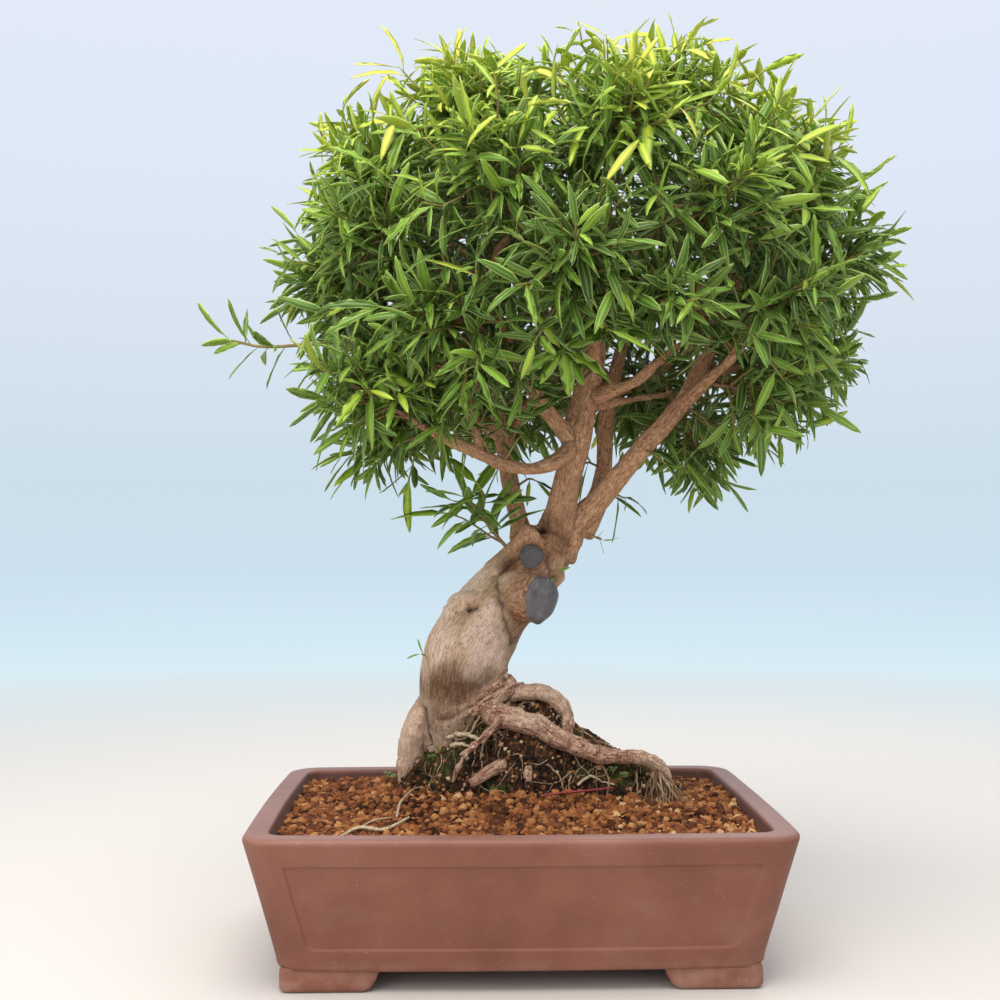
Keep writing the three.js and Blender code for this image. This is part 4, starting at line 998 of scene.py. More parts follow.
def bare_branch(base, along, springs, limb=None):
    """The points and radii of a bare branch from a limb to the base of a leafy tuft."""
    def cost(spring):
        way = base - spring[1]
        length = np.linalg.norm(way)
        return length * (1.6 - way.dot(spring[2]) / max(length, 1))

    _, root, limb_way, thick = min((s for s in springs if limb in (None, s[0])), key=cost)
    length = np.linalg.norm(root - base)
    before = base - along * min(12, length / 4)
    bend = (root + before) / 2 + limb_way * 0.12 * length
    radii = (min(2.9, thick * 0.7), 2.8, 2.5, 2.3)
    return [(*point, radius) for point, radius in zip((root, bend, before, base), radii)]


def centre_samples(bars):
    """Places every few millimetres along the bars: place, direction, across, radius, way and group."""
    found = []
    for group, points in bars:
        line = SmoothLine(points)
        steps = max(4, int(np.sum(np.linalg.norm(np.diff(line.points, axis=0), axis=1)) / 3))
        across = vec(0, 1, 0.3)
        way = len(found) * 3.1
        last = line.point(0)
        for t in (s / steps for s in range(steps + 1)):
            here, along = line.point(t), line.tangent(t)
            across = square_to(across, along)
            way += np.linalg.norm(here - last)
            last = here
            found.append((*here, *along, *across, radius_along(points, t), way, group))
    return np.array(found)


def bark_kinds(points, bars):
    """How the grain runs at each point of the wood, and how far root bark and limb bark grow there."""
    samples = centre_samples(bars)
    places = samples[:, :3]
    nearest = np.zeros(len(points), int)
    depth = np.zeros((len(points), 3))
    batch = 4000
    for start in range(0, len(points), batch):
        part = points[start:start + batch]
        square = (part**2).sum(1)[:, None] - 2 * part @ places.T + (places**2).sum(1)
        away = np.sqrt(np.maximum(square, 0)) - samples[:, 9]
        nearest[start:start + batch] = away.argmin(1)
        for group in range(3):
            depth[start:start + batch, group] = away[:, samples[:, 11] == group].min(1)
    near = samples[nearest]
    offset, along, across = points - near[:, :3], near[:, 3:6], near[:, 6:9]
    sideways = [(offset * axis).sum(1) for axis in (across, np.cross(along, across))]
    grain = np.stack([*sideways, near[:, 10] + (offset * along).sum(1)], 1)
    rooty = smooth_step(-3, 3, depth[:, 0] - depth[:, 1])
    rooty = np.maximum(rooty, smooth_step(150, 118, points[:, 2]))
    limby = smooth_step(-3, 3, np.minimum(depth[:, 0], depth[:, 1]) - depth[:, 2])
    limby = np.maximum(limby, smooth_step(276, 296, points[:, 2] + soft_noise(points, 12, 5) * 6))
    return grain, rooty, limby


def line_distance(flat, line):
    """How far points of a plane lie from a bent line."""
    best = np.full(len(flat), 1e9)
    for a, b in zip(line[:-1], line[1:]):
        a, way = np.array(a, float), np.array(b, float) - np.array(a, float)
        share = np.clip((flat - a) @ way / way.dot(way), 0, 1)
        best = np.minimum(best, np.linalg.norm(flat - a - share[:, None] * way, axis=1))
    return best


def patch(points, place, widest, full, size, seed, rough):
    """A patch on the front with an uneven edge. Its place is x, z, half its width and half its height."""
    x, z, half_x, half_z = place
    off = np.hypot((points[:, 0] - x) / half_x, (points[:, 2] - z) / half_z)
    return smooth_step(widest, full, off + soft_noise(points, size, seed) * rough)


def shape_wood(made, bars):
    mesh = made.data
    points = (mesh_rows(mesh) - TRAY_MIDDLE) / MM
    normals = mesh_rows(mesh, "normal")
    grain, rooty, limby = bark_kinds(points, bars)
    smooth_trunk = (1 - rooty) * (1 - limby)
    lift = 0
    for noise, *factors in (
        (soft_noise(points, 26, 1), 1.3, smooth_trunk),
        (soft_noise(grain * [1, 1, 0.12], 4.5, 2), 0.5, smooth_trunk),
        (soft_noise(grain * [1, 1, 0.3], 2.2, 3), 0.26),
        (soft_noise(grain, 9, 4), 1.1, rooty),
        (soft_noise(grain * [0.35, 0.35, 1], 3.2, 6), 0.8, rooty),
        (soft_noise(grain * [1, 1, 0.45], 8, 7), 0.8, limby, 1 - rooty),
        (soft_noise(grain * [1, 1, 0.35], 3, 8), 0.35, limby, 1 - rooty),
    ):
        for factor in factors:
            noise = noise * factor
        lift = lift + noise
    callus, painted_hollow_shade, painted_root_light = np.zeros((3, len(points)))
    for _, end, radius in STUBS.values():
        rim = distances(points, end)
        near = smooth_step(radius * 2.0, radius * 1.2, rim + soft_noise(points, 11, 24) * 0.35 * radius)
        callus = np.maximum(callus, near * 0.85)
        lift += callus * np.sin(rim * 2.2) * 0.22
    # Painted shade in the hollows.
    for *place, radius, deep in HOLLOWS:
        away = distances(points, place)
        painted_hollow_shade = np.maximum(painted_hollow_shade, 0.75 * smooth_step(radius, radius * 0.3, away))
        lift -= deep * smooth_step(radius, 0, away)
    for *place, radius, high in SWELLINGS:
        lift += high * smooth_step(radius, 0, distances(points, place))
    for *place, radius, deep in PINCHES:
        lift -= deep * smooth_step(radius, 0, distances(points, place)) * (1 - rooty)
    front = smooth_step(0.15, -0.25, normals[:, 1])
    flat = points[:, [0, 2]] + np.stack([soft_noise(points, 5, 21), soft_noise(points, 5, 22)], 1) * 1.2
    broken = 0.85 + 0.4 * soft_noise(points, 4.5, 23)
    # Furrows are sunk, with painted shade along them.
    for line, half, deep, darkness in FURROWS:
        away = line_distance(flat, line)
        lift -= front * deep * smooth_step(half, 0, away)
        painted_hollow_shade = np.maximum(painted_hollow_shade, front * darkness * broken * 0.8 * smooth_step(half * 0.5, 0, away))
    for line, half, high in RIDGES:
        lift += front * high * smooth_step(half, 0, line_distance(flat, line))
    lift += callus * soft_noise(points, 3.5, 9) * 0.6
    # Painted light on the roots, in the listed patches.
    for *place, strength in PAINTED_ROOT_LIGHT:
        painted_root_light = np.maximum(painted_root_light, patch(points, place, 1.2, 0.3, 8, 31, 0.4) * front * rooty * strength)
    # Painted shade, partly the bark's own brown: the foot of the trunk, the listed patches and the underside
    # of the bulge are darkened.
    shade = smooth_step(180, 160, points[:, 2]) * (1 - rooty) * 0.5
    for *place, strength in SHADES:
        brown = patch(points, place, 1.25, 0.35, 9, 13, 0.3) * front * (1 - rooty) * strength
        shade = np.maximum(shade, brown)
    underside = smooth_step(0.1, -0.7, normals[:, 2]) * smooth_step(212, 226, points[:, 2])
    shade = np.maximum(shade, underside * smooth_step(262, 246, points[:, 2]) * 0.7)
    damp = smooth_step(16, 2, line_distance(flat, FURROWS[0][0])) + smooth_step(200, 170, points[:, 2]) * 0.5
    mesh.vertices.foreach_set("co", in_frame(points + normals * lift[:, None]).ravel())
    mesh.update()
    add_attribute(made, "grain", grain, "FLOAT_VECTOR")
    for name, values in {
        "rooty": rooty, "limby": limby, "callus": callus, "painted_hollow_shade": painted_hollow_shade, "damp": damp, "shade": shade,
        "painted_root_light": painted_root_light,
    }.items():
        add_attribute(made, name, np.clip(values, 0, 1))


def make_wood(tufts, finish):
    bars = [(0, TRUNK), *((1, root) for root in ROOTS), *((2, limb) for limb in LIMBS.values())]
    parts = [bar(TRUNK, 48, 60, 0.05)]
    parts += [bar(root, 20, 10 * len(root)) for root in ROOTS]
    parts += [bar(limb, 16, 8 * len(limb)) for limb in LIMBS.values()]
    parts.append(bar(KNOB, 24, 12))
    parts += [bar([(*start, radius * 1.15), (*end, radius)], 32, 4) for start, end, radius in STUBS.values()]
    made = closed_object("trunk_roots_and_limbs", *joined_parts(parts))
    modified(made, "REMESH", mode="VOXEL", voxel_size=VOXEL * MM)
    settled(modified(made, "SMOOTH", factor=0.5, iterations=4))
    shape_wood(made, bars)
    settled(modified(made, "DECIMATE", ratio=0.5))

    springs = limb_points()
    twigs = [bare_branch(base, along, springs) for _, base, along in tufts]
    for shoot in SINGLE_SHOOTS:
        if "limb" in shoot:
            base, first = (vec(*row) for row in shoot["way"][:2])
            along = unit(first - base)
            twigs.append(bare_branch(base - along * GAP, along, springs, shoot["limb"]))
    points, faces = joined_parts([bar(twig, 9, 12) for twig in twigs])
    grain = []
    for twig in twigs:
        for number, ring in enumerate(bar(twig, 9, 12, rings_only=True)):
            grain += [(*(p - ring.mean(0))[:2], number * 8.0) for p in ring]
    thin = closed_object("bare_branches", points + soft_noise(points, 9, 12)[:, None] * 0.5, faces)
    add_attribute(thin, "grain", np.array(grain), "FLOAT_VECTOR")
    for name in ("rooty", "limby", "callus", "painted_hollow_shade", "damp", "shade"):
        add_attribute(thin, name, np.full(len(points), float(name == "limby")))
    for piece, replaced in ((made, ["trunk_and_branches"]), (thin, [])):
        finished(piece, finish).data.shade_smooth()
        keep(piece, "bark", *replaced)


def make_paste(name, stub, finish):
    """A dab of paste over a sawn-off stub: a low, lumpy dome with an uneven edge."""
    start, end, radius = stub
    out = unit(end - start)
    rings = []
    for distance, share in [
        (0.2, 1), (1.2, 1.01), (2.2, 0.94), (2.9, 0.8), (3.1, 0.55), (3.2, 0.3), (3.2, 0.08),
    ]:
        ring = []
        for angle in (2 * math.pi * a / 56 for a in range(56)):
            wave = 1 + 0.05 * math.sin(3 * angle + 1) + 0.025 * math.sin(7 * angle)
            ring.append(end + out * distance + leaning(out, math.pi / 2, angle) * radius * share * wave)
        rings.append(np.array(ring))
    points, faces = skin_over(rings)
    points = points + out * (soft_noise(points, 6, 2) * 1.0 + soft_noise(points, 2.6, 3) * 0.35)[:, None]
    made = finished(closed_object(name + "_dab", points, faces), finish)
    # The upper dab is drawn darker all over than the lower one.
    add_attribute(made, "darker_dab", np.full(len(points), 0.55 if name == "cut_paste_upper" else 0.0))
    keep(made, "cut_paste", name)


# Leaves

# A leaf blade: places along it, and half its width there
FULL_BLADE = [(0, 0.011), (0.13, 0.02), (0.3, 0.08), (0.62, 0.089), (0.88, 0.054), (1, 0.01)]
PLAIN_BLADE = [(0, 0.011), (0.2, 0.06), (0.62, 0.09), (1, 0.01)]
# Leaf shapes by how far they droop and by twist, sway and width, then broad ones by all four
LEAF_DROOPS = (0.08, 0.14, 0.22, 0.32, 0.46)
LEAF_TURNS = [(-0.8, 0.06, 0.88), (0.15, -0.05, 1.04), (0.9, 0.09, 0.94)]
BROAD_LEAVES = [(0.1, 0.3, 0.03, 1.7), (0.25, -0.5, -0.04, 1.8), (0.05, 0, 0, 3.6)]
FIRST_BROAD, ROUND, PLAIN = 15, 17, 18
FOLD = 0.24


def leaf_shape(droop, twist, sway, width=1.0, blade=FULL_BLADE):
    """A lance-shaped leaf of length 1 along X with its face to Z: a thin closed blade on a short stalk,
    folded a little along its midrib."""
    points = []
    for s, half in blade:
        half *= width if s > 0.15 else 1
        turn = twist * s * s
        middle = vec(s - 0.2 * droop * s, sway * s * s, -droop * s * s)
        side, up = vec(0, math.cos(turn), math.sin(turn)), vec(0, -math.sin(turn), math.cos(turn))
        wide, fold = side * half, up * (FOLD * half)
        points += [middle + wide + fold, middle + up * 0.006, middle - wide + fold, middle - up * 0.008]
    count = len(blade)
    marks = {
        "along": [s for s, _ in blade for _ in range(4)], "across": [1, 0, -1, 0] * count,
        "under": [0.5, 0, 0.5, 1] * count,
    }
    last = 4 * (count - 1)
    faces = [
        (ring + b, ring + a, ring + 4 + a, ring + 4 + b)
        for ring in range(0, last, 4) for a, b in ((0, 1), (1, 2), (2, 3), (3, 0))
    ]
    return points, [*faces, (0, 1, 2, 3), (last + 3, last + 2, last + 1, last)], marks


def leaf_shapes():
    shapes = [leaf_shape(droop, *turn) for droop in LEAF_DROOPS for turn in LEAF_TURNS]
    shapes += [leaf_shape(*broad) for broad in BROAD_LEAVES]
    return shape_collection("leaf", [*shapes, leaf_shape(0.22, 0.3, 0.05, 1.1, PLAIN_BLADE)])


def spiral(count, lowest, turn):
    """Directions over a globe along a golden-angle spiral, from its top down."""
    for i in range(count):
        height = 1 - lowest * (i + 0.5) / count
        flat = math.sqrt(1 - height * height)
        angle = i * GOLDEN + turn
        yield vec(flat * math.cos(angle), flat * math.sin(angle), height)


def on_globe(out, depth=1.0):
    """A point of the head in a direction from its middle, at a share of the way to its surface."""
    return MIDDLE + out * [HALF_X, HALF_Y, UP if out[2] > 0 else DOWN] * depth


def tuft_places():
    """Where each leafy tuft starts and points."""
    places = []
    for out in spiral(TUFT_COUNT, 1.7, 0.6):
        end = on_globe(out)
        if out[1] < WINDOW["front"] and WINDOW["left"] < end[0] < WINDOW["right"]:
            if out[2] < WINDOW["below"]:
                continue
            end[2] += WINDOW["lift"] * (out[2] < WINDOW["below"] + WINDOW["edge"])
        along = unit(end - ORIGIN)
        places.append((end - along * TUFT_REACH, along))
    return places + [(vec(*row[:3]), unit(vec(*row[3:]))) for row in LOW_TUFTS]


def settled_tufts():
    """Each tuft at the place where its solid stands, which may have been moved a little."""
    sides = [(0, 0, 1), (0, 0, -1), (1, 0, 0), (-1, 0, 0), (0, 1, 0), (0, -1, 0)]
    shifts = [vec(*side) * step for step in (0, 15, 28) for side in sides]
    tufts = []
    for number, (base, along) in enumerate(tuft_places(), start=1):
        node = f"spray_{number:02d}"
        if node in frame["nodes"]:
            corners = solid_points(node)
            mark = GAP * along + STEM_RADIUS * leaning(along, math.pi / 2, 0)
            gaps = [distances(corners, base + shift + mark).min() for shift in shifts]
            tufts.append((number, base + shifts[int(np.argmin(gaps))], along))
    return tufts


# What the points of leaves and twigs carry before they are grown: its kind and its usual value
POINT_MARKS = {
    "is_leaf": ("BOOLEAN", False), "leaf_along": ("FLOAT_VECTOR", (1, 0, 0)),
    "leaf_up": ("FLOAT_VECTOR", (0, 0, 1)), "leaf_size": ("FLOAT", 0.0), "leaf_shape": ("INT", 0),
    "tone": ("FLOAT", 0.0), "twig_radius": ("FLOAT", 0.0), "young": ("FLOAT", 0.0),
}


class Greenery:
    """The leaves and twigs of one piece, gathered before they are grown."""

    def __init__(self, plain=False):
        self.points, self.edges, self.marks = [], [], []
        self.plain = plain

    def add_point(self, point, **marks):
        self.points.append(np.array(point, float))
        self.marks.append(marks)

    def add_twig(self, points, radii, young):
        first = len(self.points)
        for point, radius, fresh in zip(points, radii, young):
            self.add_point(point, twig_radius=radius * MM, young=fresh)
        self.edges += [(k, k + 1) for k in range(first, len(self.points) - 1)]

    def add_line(self, way, shares, radius, young):
        """A twig along a smooth line. Its radius and youth depend on the share of the way."""
        line = SmoothLine(way)
        points = [line.point(t) for t in shares]
        self.add_twig(points, [radius(t) for t in shares], [young(t) for t in shares])
        return line

    def add_leaf(self, root, along, up, length, droop, tone, pick, shape=None):
        near = int(np.argmin([abs(droop - d) for d in LEAF_DROOPS]))
        # Painted shade: leaves deeper inside the head, nearer its middle, get a darker tone.
        off = (np.array(root) - MIDDLE) / [HALF_X, HALF_Y, UP if root[2] > MIDDLE[2] else DOWN]
        tone *= 0.35 + 0.65 * smooth_step(0.55, 0.9, np.linalg.norm(off))
        if shape is None:
            shape = near * len(LEAF_TURNS) + pick
        self.add_point(
            root, is_leaf=True, leaf_along=tuple(along), leaf_up=tuple(up), leaf_size=length * MM,
            leaf_shape=PLAIN if self.plain else shape, tone=tone,
        )

    def kept(self, name, kit, slot, *replaced):
        """Grows the piece with a kit: the tree, its leaf shapes and the finishes of leaf and twig."""
        made = mesh_object(name, self.points, edges=self.edges)
        for label, (kind, usual) in POINT_MARKS.items():
            add_attribute(made, label, [marks.get(label, usual) for marks in self.marks], kind)
        keep(grow(made, **kit), slot, *replaced)


def leaf_tone(height, part, draw):
    """How light and yellow a leaf is, 0 to 1: the higher and the nearer its shoot's tip, the lighter."""
    # The higher the leaf, the lighter: partly yellow new growth at the top, partly painted light on the top
    # of the head.
    lift = smooth_step(500, 670, height)
    tone = 0.235 + 0.5 * lift + (0.14 + 0.3 * lift) * part**3 + 0.4 * (draw() - 0.5)
    fate = draw()
    if fate < 0.06:
        tone += 0.22
    if fate < 0.005:
        tone = 0.97
    return float(np.clip(tone, 0, 1))


BOX_LOW, BOX_HIGH = ((np.array(corner) - TRAY_MIDDLE) / MM for corner in cad_box)
BOX_SLACK = 0.012  # how far past the solids' box a leaf's tip may reach, as a share of each side


def in_box(point):
    slack = (BOX_HIGH - BOX_LOW) * BOX_SLACK
    return np.all(point > BOX_LOW - slack) and np.all(point < BOX_HIGH + slack)


def placed_leaf(greenery, direction, root, open_angle, azimuth, size, droop, tone, pick, corners):
    """Adds a leaf that has a solid, turned about its shoot as the solid is."""
    for turn in (0, 40, -40, 80, -80, 0):
        along = leaning(direction, open_angle, azimuth + math.radians(turn))
        up = square_to(direction, along)
        tip = root + along * size - up * droop * size
        if distances(corners, tip).min() < 0.05:
            break
    if in_box(tip):
        greenery.add_leaf(root, along, up, size, droop, tone, pick)


# The open view of the limbs from the front, on the plane y = 0 as x and z: no loose leaf hangs before it
OPEN_VIEW = [
    (65, 444), (95, 447), (120, 439), (141, 446), (168, 446), (176, 422), (153, 395), (134, 368), (103, 345),
    (65, 334), (34, 330), (-12, 350), (-41, 361), (-41, 378), (-12, 375), (15, 381), (25, 410), (43, 413),
]
OPEN_DEPTH = 30
# The steepest line from the front viewpoint that still meets a leaf: rise over distance
HEAD_TOP = 0.402


def hides_limbs(point):
    """Whether a point nearer than the limbs is seen over the open view."""
    side, back, eye = CAMERA
    if point[1] > OPEN_DEPTH:
        return False
    scale = back / (back - point[1])
    x, z = side + (point[0] - side) * scale, eye + (point[2] - eye) * scale
    inside = False
    for (x0, z0), (x1, z1) in zip(OPEN_VIEW, OPEN_VIEW[1:] + OPEN_VIEW[:1]):
        if (z0 > z) != (z1 > z) and x < x0 + (z - z0) * (x1 - x0) / (z1 - z0):
            inside = not inside
    return inside


def loose_leaf(greenery, direction, root, open_angle, azimuth, size, tone, mood, turned=(0, 0, 0)):
    """Adds a leaf that hangs as it likes: bent down by its weight, its face turned to the light."""
    along = leaning(direction, open_angle + 0.7 * (mood() - 0.4), azimuth + 0.8 * (mood() - 0.5))
    along = unit(along - vec(0, 0, 0.42 * mood() - 0.06))
    face = direction * 0.7 + vec(1.3 * (mood() - 0.5), 1.3 * (mood() - 0.5), 0.25 + 0.7 * mood())
    up = square_to(face + turned, along)
    droop = 0.04 + 0.44 * mood() ** 1.6
    length = size * (0.56 + 0.54 * mood())
    tip = root + along * length - up * droop * length
    if not in_box(tip) or hides_limbs(tip) or hides_limbs((root + tip) / 2):
        return
    steep = (tip[2] - CAMERA[2]) / (tip[1] - CAMERA[1])
    if steep > HEAD_TOP or (steep > HEAD_TOP - 0.022 and mood() < 0.6):
        return
    broad = mood() < 0.05
    shape = FIRST_BROAD + int(mood() * 2) if broad else None
    greenery.add_leaf(root, along, up, length * (0.6 if broad else 1), droop, tone, int(mood() * 3), shape)


# Leaves that have a solid, by shoot. They stay exactly where their solids are.
SOLID_LEAVES = {2: (5, 8), 6: (5, 8), 10: (1, 3, 5, 7, 9)}
# Shorter shoots between those: how many, leaves on each, widest spread, shortest length and its range
SPARE_SHOOTS, SPARE_LEAVES, SPARE_SPREAD, SPARE_LENGTH, SPARE_RANGE, FIRST_SPARE = 6, 8, 78, 24, 18, 31


def make_tuft(number, base, along, kit):
    """A leafy tuft: the shoots of its solid with all their leaves, and shorter shoots between them."""
    def shoot_way(share, spread, turn, rise):
        way = leaning(along, math.radians(spread) * (1 - share**1.6), turn * GOLDEN + number)
        way[2] += rise * (1 - share)
        return unit(way)

    node = f"spray_{number:02d}"
    corners = solid_points(node)
    draw, mood, extra = (random_source(number + seed) for seed in (0, 500, 900))
    greenery = Greenery()
    stem = [base + along * TUFT_STEM * s for s in (0.01, 0.3, 0.6, 1.0)]
    greenery.add_twig(stem, (2.2, 2.0, 1.7, 1.3), (0, 0, 0.1, 0.3))
    last = SHOOTS - 1
    for k in range(SHOOTS):
        share = k / last
        start = base + along * TUFT_STEM * (0.25 + 0.75 * share)
        length = SHOOT_LENGTH + (14 * draw() if k < last else 0)
        way = shoot_way(share, SHOOT_SPREAD, k, 0.2)
        add_shoot(greenery, start, way, length, SHOOT_LEAVES, k, draw, mood, corners)
    for k in range(SPARE_SHOOTS):
        share = (k + 0.5) / SPARE_SHOOTS
        start = base + along * TUFT_STEM * (0.1 + 0.8 * share)
        length = SPARE_LENGTH + SPARE_RANGE * extra()
        way = shoot_way(share, SPARE_SPREAD, k + 0.5, 0.25)
        add_shoot(greenery, start, way, length, SPARE_LEAVES, k + FIRST_SPARE, extra, mood)
    greenery.kept(node + "_leaves", kit, "leaf_green", node)


def add_shoot(greenery, start, direction, length, leaves, k, draw, mood, corners=None):
    reach = length + BUD
    if not in_box(start + direction * reach):
        return
    solid = () if corners is None else SOLID_LEAVES.get(k, ())
    sag = leaning(direction, math.pi / 2, k) * 1.5
    shares = (0, 0.35, 0.7, 0.88, 0.93, 1.0)
    points = [start + direction * reach * s + sag * math.sin(math.pi * s) for s in shares]
    greenery.add_twig(points, (1.25, 1.05, 0.85, 0.7, 0.85, 0.06), (0.15, 0.35, 0.6, 0.8, 0.9, 1))
    for j in range(leaves):
        part = (j + 1) / leaves
        root = start + direction * length * (0.25 + 0.75 * part)
        open_angle = math.radians(74 - 46 * part + 16 * (draw() - 0.5))
        size = (LEAF_LENGTH + 14 * draw()) * (0.8 if j == leaves - 1 else 1)
        droop = 0.1 + 0.14 * draw()
        tone = leaf_tone(root[2], part, mood)
        leaf = greenery, direction, root, open_angle, j * GOLDEN + k, size
        if j in solid:
            placed_leaf(*leaf, droop, tone, int(mood() * 3), corners)
        else:
            loose_leaf(*leaf, tone, mood)


def add_curved_shoot(greenery, points, radius, leafy_from, leaves, size, mood, painted_shading=1.0, turned=(0, 0, 0)):
    """A shoot along a bent line, with leaves on its outer part."""
    line = greenery.add_line(
        points, (0, 0.25, 0.5, 0.75, 0.93, 1.0), lambda t: radius * (1 - 0.5 * t) if t < 1 else 0.06,
        lambda t: 0.1 + 0.8 * t * t,
    )
    turn = mood() * 6
    for j in range(leaves):
        part = (j + 1) / leaves
        t = leafy_from + (0.98 - leafy_from) * part
        root = line.point(t)
        open_angle = math.radians(76 - 40 * part)
        # Painted light and shade: the tone is scaled by the shoot's factor.
        tone = leaf_tone(root[2], part, mood) * painted_shading
        loose_leaf(greenery, line.tangent(t), root, open_angle, j * GOLDEN + turn, size, tone, mood, turned)


# Shoots that fill the head's surface between the tufts, in a few pieces around it
CROWN_SHOOTS, CROWN_PIECES, CROWN_LEAVES = 550, 6, 9
CROWN_LEAFY, CROWN_SHORTEST, CROWN_LONGEST = 34, 22, 95  # length with leaves, whole length


def make_crown_shoots(tufts, kit):
    """Shoots that spring from the tufts' stems."""
    draw = random_source(77)
    shares = (0.1, 0.4, 0.7, 0.95)
    spots = np.array([base + along * TUFT_STEM * share for _, base, along in tufts for share in shares])
    parts = [Greenery() for _ in range(CROWN_PIECES)]
    for out in spiral(CROWN_SHOOTS, 1.78, 0.4):
        tip = on_globe(out, 0.91 - 0.22 * draw())
        tip += vec(draw() - 0.5, draw() - 0.5, draw() - 0.5) * 16
        if hides_limbs(tip) or hides_limbs(tip + vec(0, 0, -14)):
            continue
        start = spots[int(distances(spots, tip).argmin())]
        length = np.linalg.norm(tip - start)
        if length > CROWN_LONGEST or length < CROWN_SHORTEST:
            continue
        heading = unit(unit(tip - start) + out * 0.9 + vec(0, 0, 0.25))
        bend = tip - heading * min(26, length * 0.5)
        way = [start, (start + bend) / 2 + out * 3, bend, tip]
        part = parts[int((math.atan2(out[1], out[0]) / (2 * math.pi) % 1) * CROWN_PIECES)]
        leafy_from = max(0.15, 1 - CROWN_LEAFY / length)
        add_curved_shoot(part, way, 1.3, leafy_from, CROWN_LEAVES, LEAF_LENGTH + 12 * draw(), draw)
    for number, greenery in enumerate(parts, start=1):
        greenery.kept(f"crown_shoots_{number}", kit, "leaf_green")


# Leafy shoots that hang before the limbs: points of each, how many leaves, how light their leaves are drawn,
# as painted light and shade
HANGING = [
    ([(48, 22, 392), (50, 2, 404), (44, -14, 412), (34, -26, 410)], 9, 1.25),
    ([(60, 20, 436), (56, -14, 430), (44, -34, 420), (30, -44, 414)], 9, 1.1),
    ([(-12, -10, 362), (-4, -18, 370), (4, -24, 384), (6, -30, 372)], 7, 1),
    ([(-37, -34, 403), (-24, -40, 404), (-12, -46, 396)], 8, 1),
    ([(0, 0, 445), (4, -20, 434), (10, -36, 420), (16, -46, 404)], 9, 1.1),
    ([(-18, -12, 480), (-14, -40, 458), (-6, -56, 436), (2, -62, 420)], 10, 1.1),
    ([(16, 10, 417), (22, -6, 420), (26, -20, 414)], 7, 1),
    ([(152, -44, 468), (140, -60, 446), (124, -70, 430), (112, -74, 420)], 9, 1),
    ([(102, 36, 375), (108, 22, 372), (118, 12, 362)], 6, 0.8),
    ([(5, 50, 330), (-4, 40, 338), (-12, 34, 340)], 6, 0.7),
    ([(2, 52, 345), (12, 42, 352), (18, 36, 350)], 5, 0.7),
    ([(68, 56, 333), (80, 48, 340), (90, 42, 336)], 5, 0.7),
    ([(-20, -14, 366), (-26, -34, 378), (-40, -48, 384)], 8, 1),
    ([(-35, -24, 371), (-52, -40, 392), (-60, -54, 398)], 8, 1),
    ([(-37, -34, 403), (-50, -50, 398), (-56, -60, 384)], 9, 1.1),
    ([(-31, -26, 385), (-16, -44, 388), (-8, -54, 378)], 8, 1),
    ([(-46, -44, 430), (-40, -62, 420), (-34, -72, 404)], 9, 1.1),
    ([(16, 10, 417), (0, -16, 412), (-10, -30, 402)], 9, 0.9),
    ([(0, 0, 445), (-12, -24, 436), (-20, -44, 424), (-24, -56, 408)], 10, 1.1),
    ([(75, 66, 360), (62, 56, 366), (52, 50, 362)], 6, 0.6),
    ([(133, 28, 411), (146, 14, 400), (156, 4, 386)], 9, 0.9),
    ([(148, 20, 440), (160, 2, 428), (170, -12, 412)], 9, 0.9),
    ([(112, 53, 419), (140, 58, 420), (165, 62, 414), (189, 64, 411)], 4, 0.6),
]
# Broad leaves that face the front: the twig that carries them, then reach in x and z and tone of each leaf
WHORLS = [
    (
        [(63, 28, 440), (52, -12, 462), (36, -68, 456), (29, -92, 436)],
        [
            (34, 17, 0.62), (42, -16, 0.84), (17, -24, 0.56), (7, -32, 0.74), (-17, -23, 0.78),
            (-30, -14, 0.56), (-16, 26, 0.9), (24, -4, 0.5),
        ],
    ),
    (
        [(-37, -34, 403), (-40, -62, 424), (-41, -70, 438)],
        [(1, -18, 0.92), (22, 16, 0.55), (-20, 14, 0.5), (-26, -6, 0.46), (25, -8, 0.5)],
    ),
    (
        [(0, 0, 445), (-4, -44, 470), (-8, -74, 478)],
        [(26, -16, 0.55), (30, 8, 0.62), (-24, -14, 0.5), (-30, 4, 0.46), (4, -28, 0.5), (-12, 22, 0.6)],
    ),
    (
        [(59, -18, 456), (80, -60, 474), (92, -78, 476)],
        [(30, -10, 0.5), (26, 14, 0.58), (-26, -12, 0.5), (-22, 14, 0.46), (2, -30, 0.52)],
    ),
    (
        [(-91, -40, 400), (-98, -62, 420), (-100, -70, 424)],
        [(-24, -20, 0.5), (6, -32, 0.46), (26, -12, 0.55), (-30, 6, 0.5), (20, 16, 0.5)],
    ),
]


def add_whorls(greenery, draw):
    for way, leaves in WHORLS:
        line = greenery.add_line(way, (0, 0.25, 0.5, 0.75, 1.0), lambda t: 1.3 - 0.6 * t, lambda t: t)
        for number, (reach_x, reach_z, tone) in enumerate(leaves):
            along = vec(reach_x, 6 - 14 * draw(), reach_z)
            size = float(np.linalg.norm(along))
            along = along / size
            up = square_to(vec(0.5 * (draw() - 0.5), -1, 0.45 + 0.3 * draw()), along)
            greenery.add_leaf(line.point(1.0), along, up, size, 0.1, tone, 0, FIRST_BROAD + number % 2)


def make_hanging_shoots(kit):
    draw = random_source(61)
    greenery = Greenery()
    add_whorls(greenery, random_source(83))
    for way, leaves, painted_shading in HANGING:
        add_curved_shoot(greenery, way, 1.2, 0.3, leaves, 38, draw, painted_shading)
    greenery.kept("hanging_shoots", kit, "leaf_green")


# Short shoots deeper in the head, in its shade, their leaves darkened as painted shade. None grows low before
# the open view of the limbs.
INNER_SHOOTS, INNER_LEAVES, INNER_LENGTH, INNER_LEAF_LENGTH, INNER_PAINTED_SHADE = 290, 6, 20, 33, 0.45
INNER_CLEAR = {"front": 52, "left": -45, "right": 150, "below": 436}


